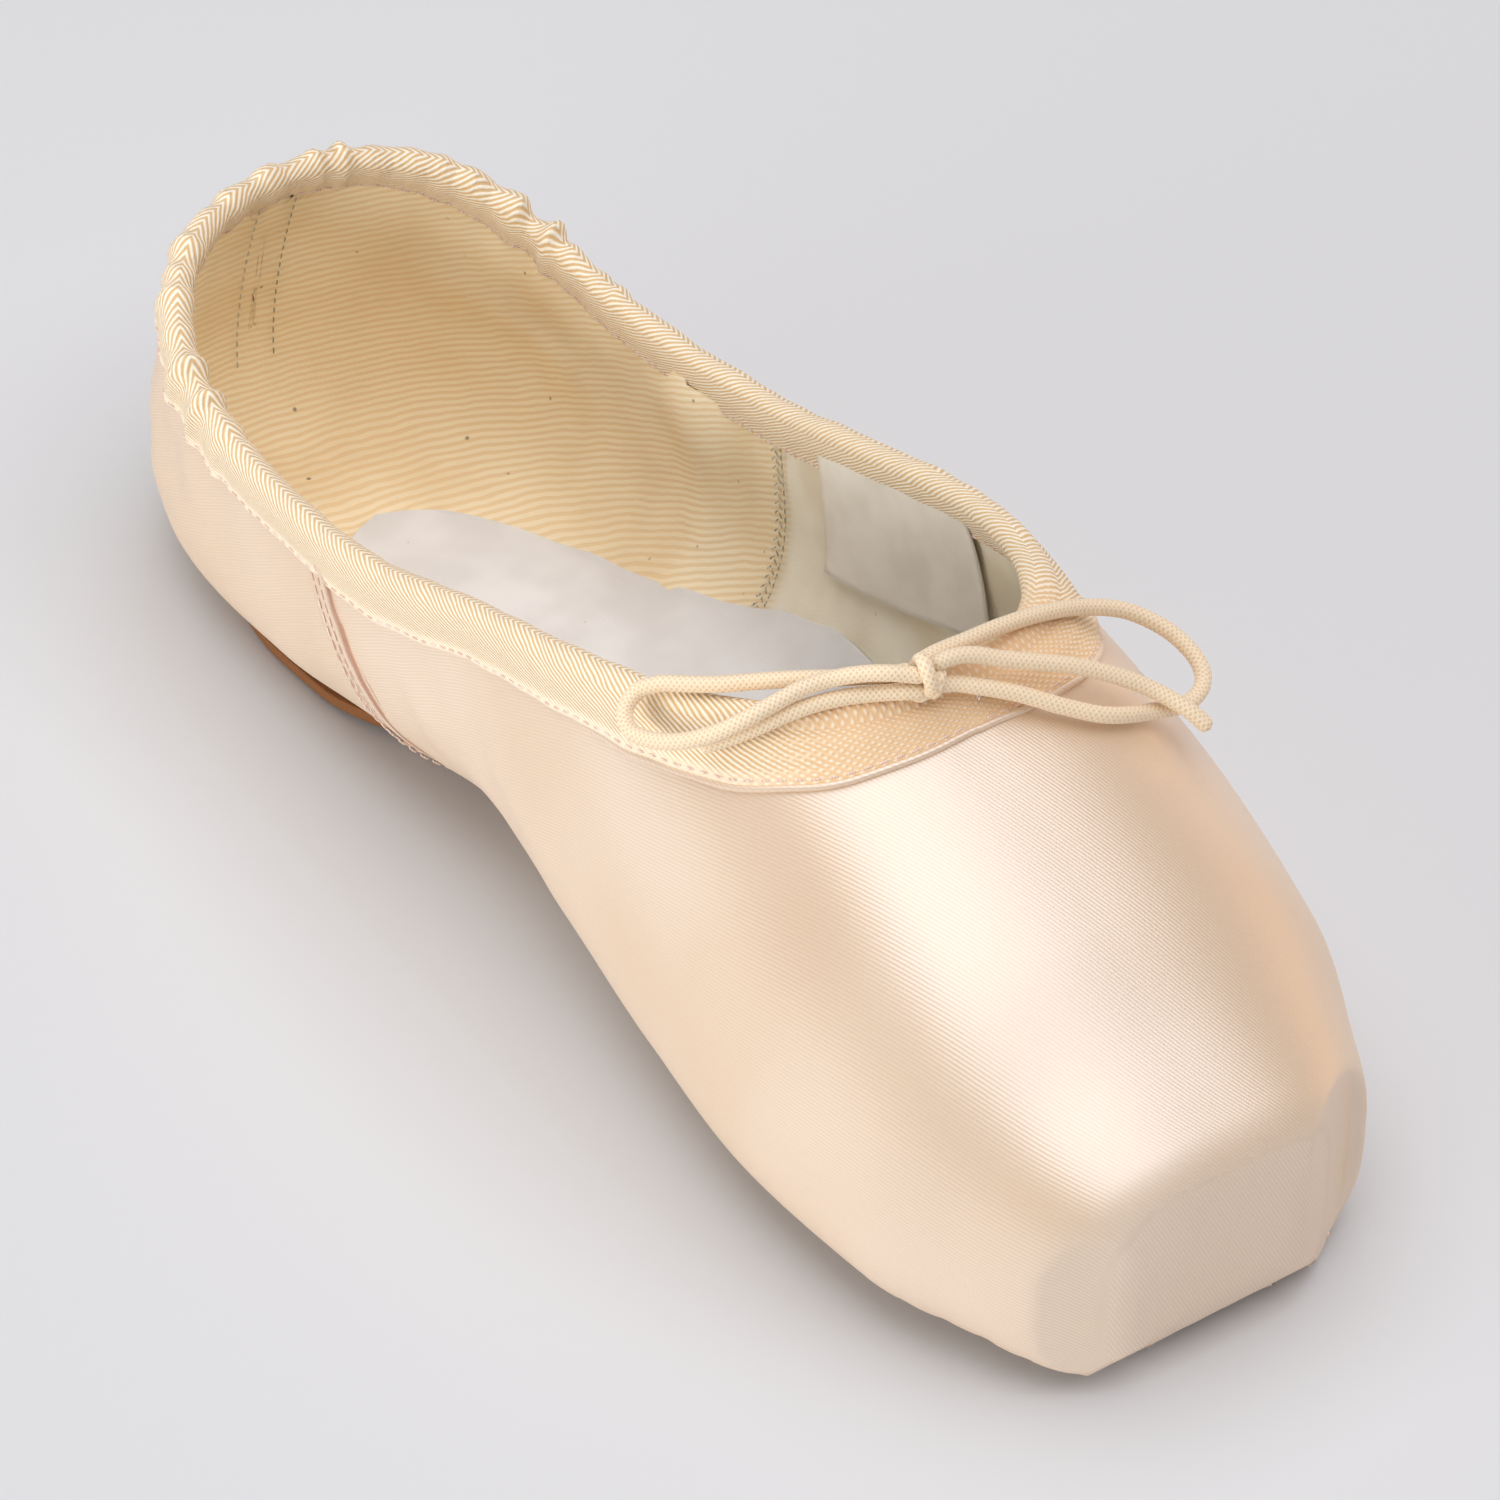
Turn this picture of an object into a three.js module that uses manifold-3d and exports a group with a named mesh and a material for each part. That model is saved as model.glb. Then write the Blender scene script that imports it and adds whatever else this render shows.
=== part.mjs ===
// A satin pointe shoe, standing empty on its leather sole.
// Millimetres, +Z up. The toe's platform faces -Y and the heel +Y; the origin is on the floor
// under the middle of the shoe.

import * as THREE from 'three';
import { mergeVertices } from 'three/addons/utils/BufferGeometryUtils.js';
import Module from 'manifold-3d';

const wasm = await Module();
wasm.setup();

// ---- Driving dimensions ----------------------------------------------------------------------

const shoeLength = 238;        // platform to the back of the heel
const toeY = -shoeLength / 2;
const gap = 0.3;               // clearance between pieces that touch
const quarterWall = 1.8;       // satin, canvas and lining together
const boxWall = 2.6;           // with the hardened layers of the toe box
const boxEnd = 70;             // where the box's extra layers have run out
const tapeThickness = 0.7;     // twill tape of the drawstring casing
const bandHeight = 9.5;        // how far the casing reaches down each face of the wall
const solePly = 2.2;           // leather outsole
const soleStep = solePly + gap; // upper's underside above the sole's own underside
const insolePly = 2.0;         // inner board with the sock
const lap = 6;                 // how far the upper turns in under the board
const cordDiameter = 2.3;      // elastic drawstring
const platformHalf = 15.5;     // half width of the flat tip
const toeRound = 26;           // length over which the tip widens to the box
const platformEdge = 4.5;      // rounding of the platform's rim
const heelRound = 40;          // length over which the heel closes in plan
const heelEdge = 15;           // length over which the heel closes at the seat
const heelLean = 12;           // how far the gathered heel rim leans forward
const leanFrom = 18;           // height where that lean starts
const throat = 63;             // platform to the front of the opening
const throatLength = 60;       // the opening's round front in plan is a quarter of an ellipse
const throatHalf = 44;         // this long and this wide to each side

// Sections of the last, from the platform (t = 0) to the heel. half is half the width at the
// height widest; floor and crown are the lowest and highest points; flat is half the width of
// the flat underside; low and high say how square the section is below and above its widest.
const sections = [
  { t: 0, half: 32, widest: 15, floor: 1.6, crown: 33, flat: 9, low: 4.6, high: 3.3 },
  { t: 15, half: 34, widest: 17, floor: 2.5, crown: 42, flat: 14, low: 3.2, high: 2.6 },
  { t: 30, half: 38.8, widest: 19, floor: 2.5, crown: 52, flat: 17, low: 3.0, high: 2.5 },
  { t: 55, half: 41, widest: 22, floor: 2.5, crown: 64.5, flat: 18, low: 2.8, high: 2.5 },
  { t: 80, half: 38.5, widest: 24, floor: 2.5, crown: 74, flat: 16, low: 2.5, high: 2.7 },
  { t: 105, half: 36, widest: 28, floor: 3.6, crown: 80, flat: 10, low: 2.15, high: 2.9 },
  { t: 130, half: 34, widest: 33, floor: 5.5, crown: 81, flat: 7, low: 1.95, high: 3.0 },
  { t: 155, half: 34.5, widest: 32, floor: 5.2, crown: 79, flat: 8, low: 2.5, high: 3.0 },
  { t: 180, half: 33.8, widest: 27, floor: 2.9, crown: 77, flat: 11, low: 2.9, high: 2.8 },
  { t: 196, half: 33, widest: 24, floor: 2.5, crown: 76, flat: 13, low: 2.9, high: 2.8 },
  { t: 222, half: 31, widest: 22, floor: 2.5, crown: 75, flat: 12, low: 2.8, high: 2.8 },
  { t: 238, half: 29, widest: 21, floor: 2.5, crown: 74, flat: 9, low: 2.8, high: 2.8 },
];

// Height of the opening's edge along the sides.
const topline = [
  { t: 50, z: 70.5 },
  { t: 70, z: 67.5 },
  { t: 94, z: 63 },
  { t: 110, z: 58.9 },
  { t: 128, z: 53.6 },
  { t: 150, z: 46.8 },
  { t: 168, z: 43.8 },
  { t: 184, z: 43 },
  { t: 196, z: 44.4 },
  { t: 206, z: 47 },
  { t: 216, z: 51 },
  { t: 226, z: 54.8 },
  { t: 238, z: 57.4 },
  { t: 250, z: 58.2 },
];

// Half widths of the leather sole, broad at the ball and heel and narrow at the waist.
const soleOutline = [
  { t: 14, half: 0 },
  { t: 17, half: 10 },
  { t: 24, half: 17 },
  { t: 38, half: 22 },
  { t: 58, half: 24.5 },
  { t: 80, half: 22 },
  { t: 108, half: 15.5 },
  { t: 132, half: 13.5 },
  { t: 150, half: 16.5 },
  { t: 160, half: 19.8 },
  { t: 168, half: 23.8 },
  { t: 178, half: 25.8 },
  { t: 190, half: 26 },
  { t: 202, half: 24.4 },
  { t: 213, half: 19.8 },
  { t: 222, half: 12 },
  { t: 227, half: 0 },
];

// Half widths of the inner board and its sock, which stop short of the heel.
const insoleOutline = [
  { t: 18, half: 0 },
  { t: 21, half: 12 },
  { t: 30, half: 22 },
  { t: 50, half: 30 },
  { t: 90, half: 31 },
  { t: 125, half: 29 },
  { t: 140, half: 27.3 },
  { t: 152, half: 25 },
  { t: 165, half: 22.4 },
  { t: 178, half: 19.6 },
  { t: 188, half: 15.6 },
  { t: 196, half: 10 },
  { t: 201, half: 5 },
  { t: 203, half: 0 },
];

// The drawstring's bow: the middle of the knot, its half sizes, and the middle line of each loop
// and free end, from the knot outwards. The loops end where they began, in the knot.
const knotAt = [-5, -56.2, 73];
const knotHalves = [2.7, 2.7, 3.1];
const bowRoutes = {
  bow_loop_left: [
    [-5.4, -57, 73.8], [-9.7, -54.7, 74.8], [-12.7, -52.3, 74.4], [-15.6, -50.3, 73.6],
    [-19.2, -49.2, 73.1], [-23.5, -48.7, 72.2], [-27.6, -47.9, 70.8], [-31, -45.6, 68.4],
    [-34.1, -41.8, 65.9], [-35.9, -37.3, 64.2], [-36.4, -34, 63.8], [-35.2, -31.4, 64.7],
    [-32.9, -30.8, 66.3], [-30.6, -32.6, 67.8], [-28.2, -35.8, 68.8], [-25.4, -38.8, 69.5],
    [-21.3, -41.9, 70.2], [-16.9, -45.5, 71], [-13.5, -48.4, 71.5], [-10.3, -50.9, 72],
    [-7.8, -53.1, 72.6], [-5.4, -54.2, 73.2],
  ],
  bow_end_left: [
    [-5.2, -57, 71.2], [-8.1, -55.6, 71.5], [-11, -53.7, 71.3], [-14.2, -52, 71.1],
    [-18.2, -50.4, 70.7], [-21.7, -49.2, 69.9], [-25.1, -47.9, 68.6], [-28.1, -46, 66.9],
    [-30.8, -43.8, 65.2], [-31.5, -43.1, 64.7],
  ],
  bow_loop_right: [
    [-4.6, -54.6, 74.4], [-1.6, -54.2, 74.2], [3.6, -53.8, 73.6], [9.5, -53, 72.6],
    [17.3, -52, 70.6], [25, -51.2, 67.6], [31.4, -52.8, 65], [35.4, -57.2, 62.4],
    [36.1, -62.4, 60.4], [34.6, -65.2, 59.4], [31, -66.9, 59.2], [24.6, -67.2, 60.8],
    [16.8, -67.2, 63.8], [11.4, -64.9, 66.2], [5.8, -61.8, 69], [1, -59.4, 70.8],
    [-1.8, -58, 71.6], [-4.6, -57.4, 72],
  ],
  bow_end_right: [
    [-4.6, -56.8, 75], [-1.6, -57, 75.2], [1.6, -57.6, 74.6], [5, -58.8, 73.2],
    [9.6, -60.4, 71.6], [15, -62.2, 69.6], [20.4, -64.2, 66.8], [24.6, -66.6, 64.2],
    [28, -70.6, 61.6], [29.8, -73, 59.2],
  ],
};

const ringPoints = 38;         // corners of each section
const ringPlaces = [0, 1.4, 3.4, 6.4, 10.5, 16, 22, 29, 38, 48, 59, 70, 82, 94, 107, 120, 133, 146,
  159, 171, 182, 193, 203, 212, 220, 227, 232, 235.5, 237.6];

// ---- The last's own functions ----------------------------------------------------------------

// A smooth curve through the rows of a table that never swings past them.
function follow(rows, place, column) {
  const xs = rows.map((row) => row[place]);
  const ys = rows.map((row) => row[column]);
  const rise = [];
  for (let i = 0; i < xs.length - 1; i += 1) {
    rise.push((ys[i + 1] - ys[i]) / (xs[i + 1] - xs[i]));
  }
  const slope = xs.map((x, i) => {
    if (i === 0) return rise[0];
    if (i === xs.length - 1) return rise[i - 1];
    if (rise[i - 1] * rise[i] <= 0) return 0;
    return 2 * rise[i - 1] * rise[i] / (rise[i - 1] + rise[i]);
  });
  return (x) => {
    if (x <= xs[0]) return ys[0];
    if (x >= xs[xs.length - 1]) return ys[ys.length - 1];
    const i = xs.findIndex((right) => right > x) - 1;
    const step = xs[i + 1] - xs[i];
    const u = (x - xs[i]) / step;
    const a = ys[i] * (1 + 2 * u) * (1 - u) ** 2 + slope[i] * step * u * (1 - u) ** 2;
    const b = ys[i + 1] * u * u * (3 - 2 * u) - slope[i + 1] * step * u * u * (1 - u);
    return a + b;
  };
}

const last = {};
for (const column of ['half', 'widest', 'floor', 'crown', 'flat', 'low', 'high']) {
  last[column] = follow(sections, 't', column);
}
const toplineHeight = follow(topline, 't', 'z');

// A quarter of a squarish circle: 0 at u = 0 with an upright start, 1 at u = 1.
function roundOff(u, power) {
  const v = 1 - Math.min(Math.max(u, 0), 1);
  return (1 - v ** power) ** (1 / power);
}

function sectionSizes(t) {
  const heel = roundOff((shoeLength - t) / heelRound, 2.3);
  const seat = roundOff((shoeLength - t) / heelEdge, 2.5);
  const rim = platformEdge * (1 - roundOff(t / platformEdge, 2));
  const widest = last.widest(t);
  const tip = platformHalf / last.half(0);
  const toe = tip + (1 - tip) * roundOff(t / toeRound, 2.2);
  return {
    half: last.half(t) * heel * toe,
    widest,
    floor: widest - (widest - last.floor(t)) * seat + 0.3 * rim,
    crown: widest + (last.crown(t) - widest) * (0.35 + 0.65 * seat) - 0.9 * rim,
    flat: last.flat(t) * heel * toe,
    low: last.low(t),
    high: last.high(t),
  };
}

// A point of the last at place t and angle around the section (0 is the right side, 90 the
// crown), moved inwards by inset. The gathered heel leans forward above leanFrom.
function lastPoint(t, angle, inset) {
  const s = sectionSizes(t);
  const c = Math.cos(angle);
  const up = Math.sin(angle);
  const power = up < 0 ? s.low : s.high;
  const flat = up < 0 ? Math.min(s.flat, Math.max(s.half - inset - 1, 0)) : 0;
  const reach = Math.max(s.half - inset, 0.4) - flat;
  const x = Math.sign(c) * (flat + reach * Math.abs(c) ** (2 / power));
  const height = up < 0 ? s.widest - s.floor - inset : s.crown - s.widest - inset;
  const z = s.widest + Math.sign(up) * height * Math.abs(up) ** (2 / power);
  const y = inset + t * (shoeLength - 2 * inset) / shoeLength;
  const back = Math.min(Math.max((t - 175) / (shoeLength - 175), 0), 1) ** 2;
  const lean = heelLean * back * Math.max((z - leanFrom) / 40, 0) ** 1.6;
  return new THREE.Vector3(Math.abs(c) < 1e-9 ? 0 : x, toeY + y - lean, z);
}

function wallAt(t) {
  const u = Math.min(Math.max((t - boxEnd + 25) / 50, 0), 1);
  return boxWall + (quarterWall - boxWall) * u * u * (3 - 2 * u);
}

// ---- Solids ----------------------------------------------------------------------------------

function solidOf(geometry) {
  const bare = geometry.clone();
  bare.deleteAttribute('normal');
  bare.deleteAttribute('uv');
  const merged = mergeVertices(bare, 1e-4);
  return new wasm.Manifold(new wasm.Mesh({
    numProp: 3,
    vertProperties: new Float32Array(merged.attributes.position.array),
    triVerts: new Uint32Array(merged.index.array),
  }));
}

function geometryOf(solid) {
  const mesh = solid.getMesh();
  const geometry = new THREE.BufferGeometry();
  geometry.setAttribute('position', new THREE.BufferAttribute(new Float32Array(mesh.vertProperties), 3));
  geometry.setIndex(new THREE.BufferAttribute(new Uint32Array(mesh.triVerts), 1));
  geometry.computeVertexNormals();
  return geometry;
}

// The closed last, shrunk by inset(t).
function lastSolid(inset) {
  const points = [];
  const faces = [];
  for (const t of ringPlaces) {
    for (let k = 0; k < ringPoints; k += 1) {
      const angle = -Math.PI / 2 + 2 * Math.PI * k / ringPoints;
      points.push(lastPoint(t, angle, inset(t)));
    }
  }
  for (let r = 0; r < ringPlaces.length - 1; r += 1) {
    for (let k = 0; k < ringPoints; k += 1) {
      const a = r * ringPoints + k;
      const b = r * ringPoints + (k + 1) % ringPoints;
      faces.push(a, a + ringPoints, b, b, a + ringPoints, b + ringPoints);
    }
  }
  for (const [first, turn] of [[0, 1], [(ringPlaces.length - 1) * ringPoints, -1]]) {
    const middle = new THREE.Vector3();
    for (let k = 0; k < ringPoints; k += 1) {
      middle.addScaledVector(points[first + k], 1 / ringPoints);
    }
    const centre = points.push(middle) - 1;
    for (let k = 0; k < ringPoints; k += 1) {
      const a = first + k;
      const b = first + (k + 1) % ringPoints;
      faces.push(...(turn > 0 ? [centre, a, b] : [centre, b, a]));
    }
  }
  const geometry = new THREE.BufferGeometry().setFromPoints(points);
  geometry.setIndex(faces);
  return solidOf(geometry);
}

// A side profile in (t, z) swept across the shoe.
function acrossShoe(profile) {
  const width = 120;
  const shape = new THREE.Shape(profile.map(([t, z]) => new THREE.Vector2(t + toeY, z)));
  const geometry = new THREE.ExtrudeGeometry(shape, { depth: width, bevelEnabled: false });
  geometry.translate(0, 0, -width / 2);
  geometry.applyMatrix4(new THREE.Matrix4().set(
    0, 0, 1, 0,
    1, 0, 0, 0,
    0, 1, 0, 0,
    0, 0, 0, 1,
  ));
  return solidOf(geometry);
}

// An outline from a table of half widths, scaled in by about margin and then drawn in evenly by
// clearance, as a column through the floor.
function outlineColumn(rows, margin, clearance) {
  const height = 30;
  const steps = 40;
  const halfAt = follow(rows, 't', 'half');
  const front = rows[0].t;
  const back = rows[rows.length - 1].t;
  const widest = Math.max(...rows.map((row) => row.half));
  const right = [];
  for (let i = 0; i <= steps; i += 1) {
    const u = (1 - Math.cos(Math.PI * i / steps)) / 2;
    const half = halfAt(front + u * (back - front)) * (1 - margin / widest) - clearance;
    const inset = margin + clearance;
    const t = front + inset + u * (back - front - 2 * inset);
    const isEnd = i === 0 || i === steps;
    if (half > clearance || isEnd) right.push(new THREE.Vector2(isEnd ? 0 : half, toeY + t));
  }
  const left = right.slice(1, -1).map((p) => new THREE.Vector2(-p.x, p.y)).reverse();
  const shape = new THREE.Shape([...right, ...left]);
  const geometry = new THREE.ExtrudeGeometry(shape, { depth: height, bevelEnabled: false });
  geometry.translate(0, 0, -height / 3);
  return solidOf(geometry);
}

// The opening in the upper's underside, under the board and over the sole.
function undersideHole(clearance) {
  return outlineColumn(soleOutline, lap, clearance)
    .intersect(outlineColumn(insoleOutline, lap, clearance));
}

// A line of points moved sideways, to its left as it runs.
function besideLine(points, distance) {
  return points.map(([a, b], i) => {
    const before = points[Math.max(i - 1, 0)];
    const after = points[Math.min(i + 1, points.length - 1)];
    const along = [after[0] - before[0], after[1] - before[1]];
    const size = Math.hypot(...along);
    return [a - distance * along[1] / size, b + distance * along[0] / size];
  });
}

// The room above the opening's edge, with the edge moved into the material by drop: what lies
// both above the side profile and inside the round-fronted plan.
function openingColumn(drop) {
  const above = 110;
  const behind = shoeLength + 15;
  const steps = 26;
  const side = [];
  for (let i = 0; i <= steps; i += 1) {
    const t = 50 + (behind - 50) * i / steps;
    side.push([t, toplineHeight(t)]);
  }
  const edge = besideLine(side, -drop);
  const fromSide = acrossShoe([...edge, [behind + 20, above], [20, above]]);
  const plan = [];
  for (let i = 0; i <= steps; i += 1) {
    const turn = Math.PI / 2 * i / steps;
    plan.push([throatHalf * Math.sin(turn), throat + throatLength * (1 - Math.cos(turn))]);
  }
  const right = besideLine(plan, drop > 0 ? -0.8 * drop : -drop);
  const rows = [...right, [right[steps][0], behind], [-right[steps][0], behind],
    ...right.slice(1).reverse().map(([x, t]) => [-x, t])];
  const shape = new THREE.Shape(rows.map(([x, t]) => new THREE.Vector2(x, t + toeY)));
  const geometry = new THREE.ExtrudeGeometry(shape, { depth: above, bevelEnabled: false });
  return fromSide.intersect(solidOf(geometry));
}

// Everything below the inner board's own height, lifted by rise.
function underside(rise) {
  const below = -10;
  const profile = [];
  for (let t = 0; t <= shoeLength; t += shoeLength / 40) {
    profile.push([t, last.floor(Math.min(Math.max(t, 15), shoeLength)) + rise(t)]);
  }
  return acrossShoe([[0, below], [shoeLength, below], ...profile.reverse()]);
}

// ---- Sub-parts -------------------------------------------------------------------------------

function makeUpper() {
  return lastSolid(() => 0)
    .subtract(lastSolid(wallAt))
    .subtract(openingColumn(0))
    .subtract(undersideHole(0).intersect(underside(() => 8)));
}

function makeOutsole() {
  return outlineColumn(soleOutline, 0, 0)
    .intersect(underside(() => -gap))
    .subtract(underside(() => -soleStep));
}

function makeInsole() {
  const board = lastSolid((t) => wallAt(t) + gap)
    .intersect(outlineColumn(insoleOutline, 0, 0))
    .intersect(underside((t) => wallAt(t) + gap + insolePly));
  const plug = undersideHole(gap)
    .intersect(underside((t) => wallAt(t) + gap + insolePly / 2))
    .subtract(underside(() => 0));
  return board.add(plug);
}

// The tape folds over the edge of the upper and runs down both faces of its wall.
function makeBinding() {
  const outside = lastSolid(() => -gap - tapeThickness);
  const inside = lastSolid((t) => wallAt(t) + gap + tapeThickness);
  const wallRoom = lastSolid(() => -gap)
    .subtract(lastSolid((t) => wallAt(t) + gap))
    .subtract(openingColumn(-gap));
  return outside
    .subtract(inside)
    .intersect(openingColumn(bandHeight))
    .subtract(openingColumn(-gap - tapeThickness))
    .subtract(wallRoom);
}

function makeKnot(margin) {
  const knot = new THREE.SphereGeometry(1, 14, 10);
  knot.scale(...knotHalves.map((half) => half + margin));
  knot.translate(...knotAt);
  return solidOf(knot);
}

// A cord along a route, cut clear of the knot.
function makeCord(route) {
  const sides = 8;
  const curve = new THREE.CatmullRomCurve3(route.map((p) => new THREE.Vector3(...p)));
  const section = new THREE.Shape();
  for (let k = 0; k < sides; k += 1) {
    const angle = 2 * Math.PI * k / sides;
    const x = cordDiameter / 2 * Math.cos(angle);
    const y = cordDiameter / 2 * Math.sin(angle);
    if (k === 0) section.moveTo(x, y);
    else section.lineTo(x, y);
  }
  section.closePath();
  const steps = Math.round(curve.getLength() / (1.7 * cordDiameter));
  const tube = new THREE.ExtrudeGeometry(section, { steps, bevelEnabled: false, extrudePath: curve });
  return solidOf(tube).subtract(makeKnot(gap));
}

function piece(name, solid, finish) {
  const mesh = new THREE.Mesh(geometryOf(solid), new THREE.MeshStandardMaterial(finish));
  mesh.name = name;
  return mesh;
}

const satin = { color: 0xf3dcc4, roughness: 0.42, metalness: 0 };
const soleLeather = { color: 0xb98a5e, roughness: 0.75, metalness: 0 };
const sockCotton = { color: 0xe8e2d8, roughness: 0.9, metalness: 0 };
const twillTape = { color: 0xe9d2ae, roughness: 0.85, metalness: 0 };
const elastic = { color: 0xeeddbf, roughness: 0.8, metalness: 0 };

const shoe = new THREE.Group();
shoe.add(piece('upper', makeUpper(), satin));
shoe.add(piece('outsole', makeOutsole(), soleLeather));
shoe.add(piece('insole', makeInsole(), sockCotton));
shoe.add(piece('binding', makeBinding(), twillTape));
shoe.add(piece('bow_knot', makeKnot(0), elastic));
for (const [name, route] of Object.entries(bowRoutes)) {
  shoe.add(piece(name, makeCord(route), elastic));
}

export default shoe;
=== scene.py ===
import math

import bmesh
import bpy
import numpy as np
from mathutils import Matrix, Vector


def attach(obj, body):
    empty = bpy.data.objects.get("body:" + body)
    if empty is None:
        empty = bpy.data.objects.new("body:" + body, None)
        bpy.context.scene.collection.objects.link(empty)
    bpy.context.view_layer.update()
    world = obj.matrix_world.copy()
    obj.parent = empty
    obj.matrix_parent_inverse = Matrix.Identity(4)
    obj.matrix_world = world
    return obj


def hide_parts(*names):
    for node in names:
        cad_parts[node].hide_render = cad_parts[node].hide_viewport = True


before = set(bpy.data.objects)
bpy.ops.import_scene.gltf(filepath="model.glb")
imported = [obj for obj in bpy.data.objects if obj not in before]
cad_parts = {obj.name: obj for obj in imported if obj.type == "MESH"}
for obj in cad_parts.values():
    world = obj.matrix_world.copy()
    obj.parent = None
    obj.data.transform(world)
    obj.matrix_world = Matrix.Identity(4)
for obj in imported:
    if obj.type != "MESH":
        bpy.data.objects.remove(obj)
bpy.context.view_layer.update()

MM = 0.001

# ---- The shoe's own sizes ----------------------------------------------------------------------

LENGTH = 238.0
TOE_Y = -LENGTH / 2
GAP = 0.3
QUARTER_WALL = 1.8
BOX_WALL = 2.6
BOX_END = 70.0
TAPE_WIDTH = 9.3
SOLE_PLY = 2.2
CORD_DIAMETER = 2.3
PLATFORM_HALF = 15.5
TOE_ROUND = 26.0
PLATFORM_EDGE = 4.5
HEEL_ROUND = 40.0
HEEL_EDGE = 15.0
HEEL_LEAN = 12.0
LEAN_FROM = 18.0
THROAT = 63.0
THROAT_LENGTH = 60.0
THROAT_HALF = 44.0

# Sections of the last: place, half width, height of the widest point, lowest and highest point,
# half width of the flat underside, and how square it is below and above its widest.
SECTION_COLUMNS = ("t", "half", "widest", "floor", "crown", "flat", "low", "high")
SECTIONS = [
    (0, 32, 15, 1.6, 33, 9, 4.6, 3.3),
    (15, 34, 17, 2.5, 42, 14, 3.2, 2.6),
    (30, 38.8, 19, 2.5, 52, 17, 3.0, 2.5),
    (55, 41, 22, 2.5, 64.5, 18, 2.8, 2.5),
    (80, 38.5, 24, 2.5, 74, 16, 2.5, 2.7),
    (105, 36, 28, 3.6, 80, 10, 2.15, 2.9),
    (130, 34, 33, 5.5, 81, 7, 1.95, 3.0),
    (155, 34.5, 32, 5.2, 79, 8, 2.5, 3.0),
    (180, 33.8, 27, 2.9, 77, 11, 2.9, 2.8),
    (196, 33, 24, 2.5, 76, 13, 2.9, 2.8),
    (222, 31, 22, 2.5, 75, 12, 2.8, 2.8),
    (238, 29, 21, 2.5, 74, 9, 2.8, 2.8),
]
TOPLINE = [(50, 70.5), (70, 67.5), (94, 63), (110, 58.9), (128, 53.6), (150, 46.8), (168, 43.8),
           (184, 43), (196, 44.4), (206, 47), (216, 51), (226, 54.8), (238, 57.4), (250, 58.2)]
SOLE_OUTLINE = [(14, 0), (17, 10), (24, 17), (38, 22), (58, 24.5), (80, 22), (108, 15.5),
                (132, 13.5), (150, 16.5), (160, 19.8), (168, 23.8), (178, 25.8), (190, 26),
                (202, 24.4), (213, 19.8), (222, 12), (227, 0)]
SOCK_OUTLINE = [(18, 0), (21, 12), (30, 22), (50, 30), (90, 31), (125, 29), (140, 27.3), (152, 25),
                (165, 22.4), (178, 19.6), (188, 15.6), (196, 10), (201, 5), (203, 0)]

# The bow of the elastic drawstring, from the knot outwards: x, y and z in
# millimetres in the shared frame.
KNOT_AT = (-5, -56.2, 73)
BOW_ROUTES = {
    "bow_loop_left": [
        (-5.4, -57, 73.8), (-9.7, -54.7, 74.8), (-12.7, -52.3, 74.4), (-15.6, -50.3, 73.6),
        (-19.2, -49.2, 73.1), (-23.5, -48.7, 72.2), (-27.6, -47.9, 70.8), (-31, -45.6, 68.4),
        (-34.1, -41.8, 65.9), (-35.9, -37.3, 64.2), (-36.4, -34, 63.8), (-35.2, -31.4, 64.7),
        (-32.9, -30.8, 66.3), (-30.6, -32.6, 67.8), (-28.2, -35.8, 68.8), (-25.4, -38.8, 69.5),
        (-21.3, -41.9, 70.2), (-16.9, -45.5, 71), (-13.5, -48.4, 71.5), (-10.3, -50.9, 72),
        (-7.8, -53.1, 72.6), (-5.4, -54.2, 73.2)],
    "bow_end_left": [
        (-5.2, -57, 71.2), (-8.1, -55.6, 71.5), (-11, -53.7, 71.3), (-14.2, -52, 71.1),
        (-18.2, -50.4, 70.7), (-21.7, -49.2, 69.9), (-25.1, -47.9, 68.6), (-28.1, -46, 66.9),
        (-30.8, -43.8, 65.2), (-31.5, -43.1, 64.7)],
    "bow_loop_right": [
        (-4.6, -54.6, 74.4), (-1.6, -54.2, 74.2), (3.6, -53.8, 73.6), (9.5, -53, 72.6),
        (17.3, -52, 70.6), (25, -51.2, 67.6), (31.4, -52.8, 65), (35.4, -57.2, 62.4),
        (36.1, -62.4, 60.4), (34.6, -65.2, 59.4), (31, -66.9, 59.2), (24.6, -67.2, 60.8),
        (16.8, -67.2, 63.8), (11.4, -64.9, 66.2), (5.8, -61.8, 69), (1, -59.4, 70.8),
        (-1.8, -58, 71.6), (-4.6, -57.4, 72)],
    "bow_end_right": [
        (-4.6, -56.8, 75), (-1.6, -57, 75.2), (1.6, -57.6, 74.6), (5, -58.8, 73.2),
        (9.6, -60.4, 71.6), (15, -62.2, 69.6), (20.4, -64.2, 66.8), (24.6, -66.6, 64.2),
        (28, -70.6, 61.6), (29.8, -73, 59.2)],
}

# ---- Camera ------------------------------------------------------------------------------------


def added(name, data):
    """A new object in the scene."""
    made = bpy.data.objects.new(name, data)
    bpy.context.scene.collection.objects.link(made)
    return made


def smooth_shaded(mesh):
    mesh.polygons.foreach_set("use_smooth", np.ones(len(mesh.polygons), bool))


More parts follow.
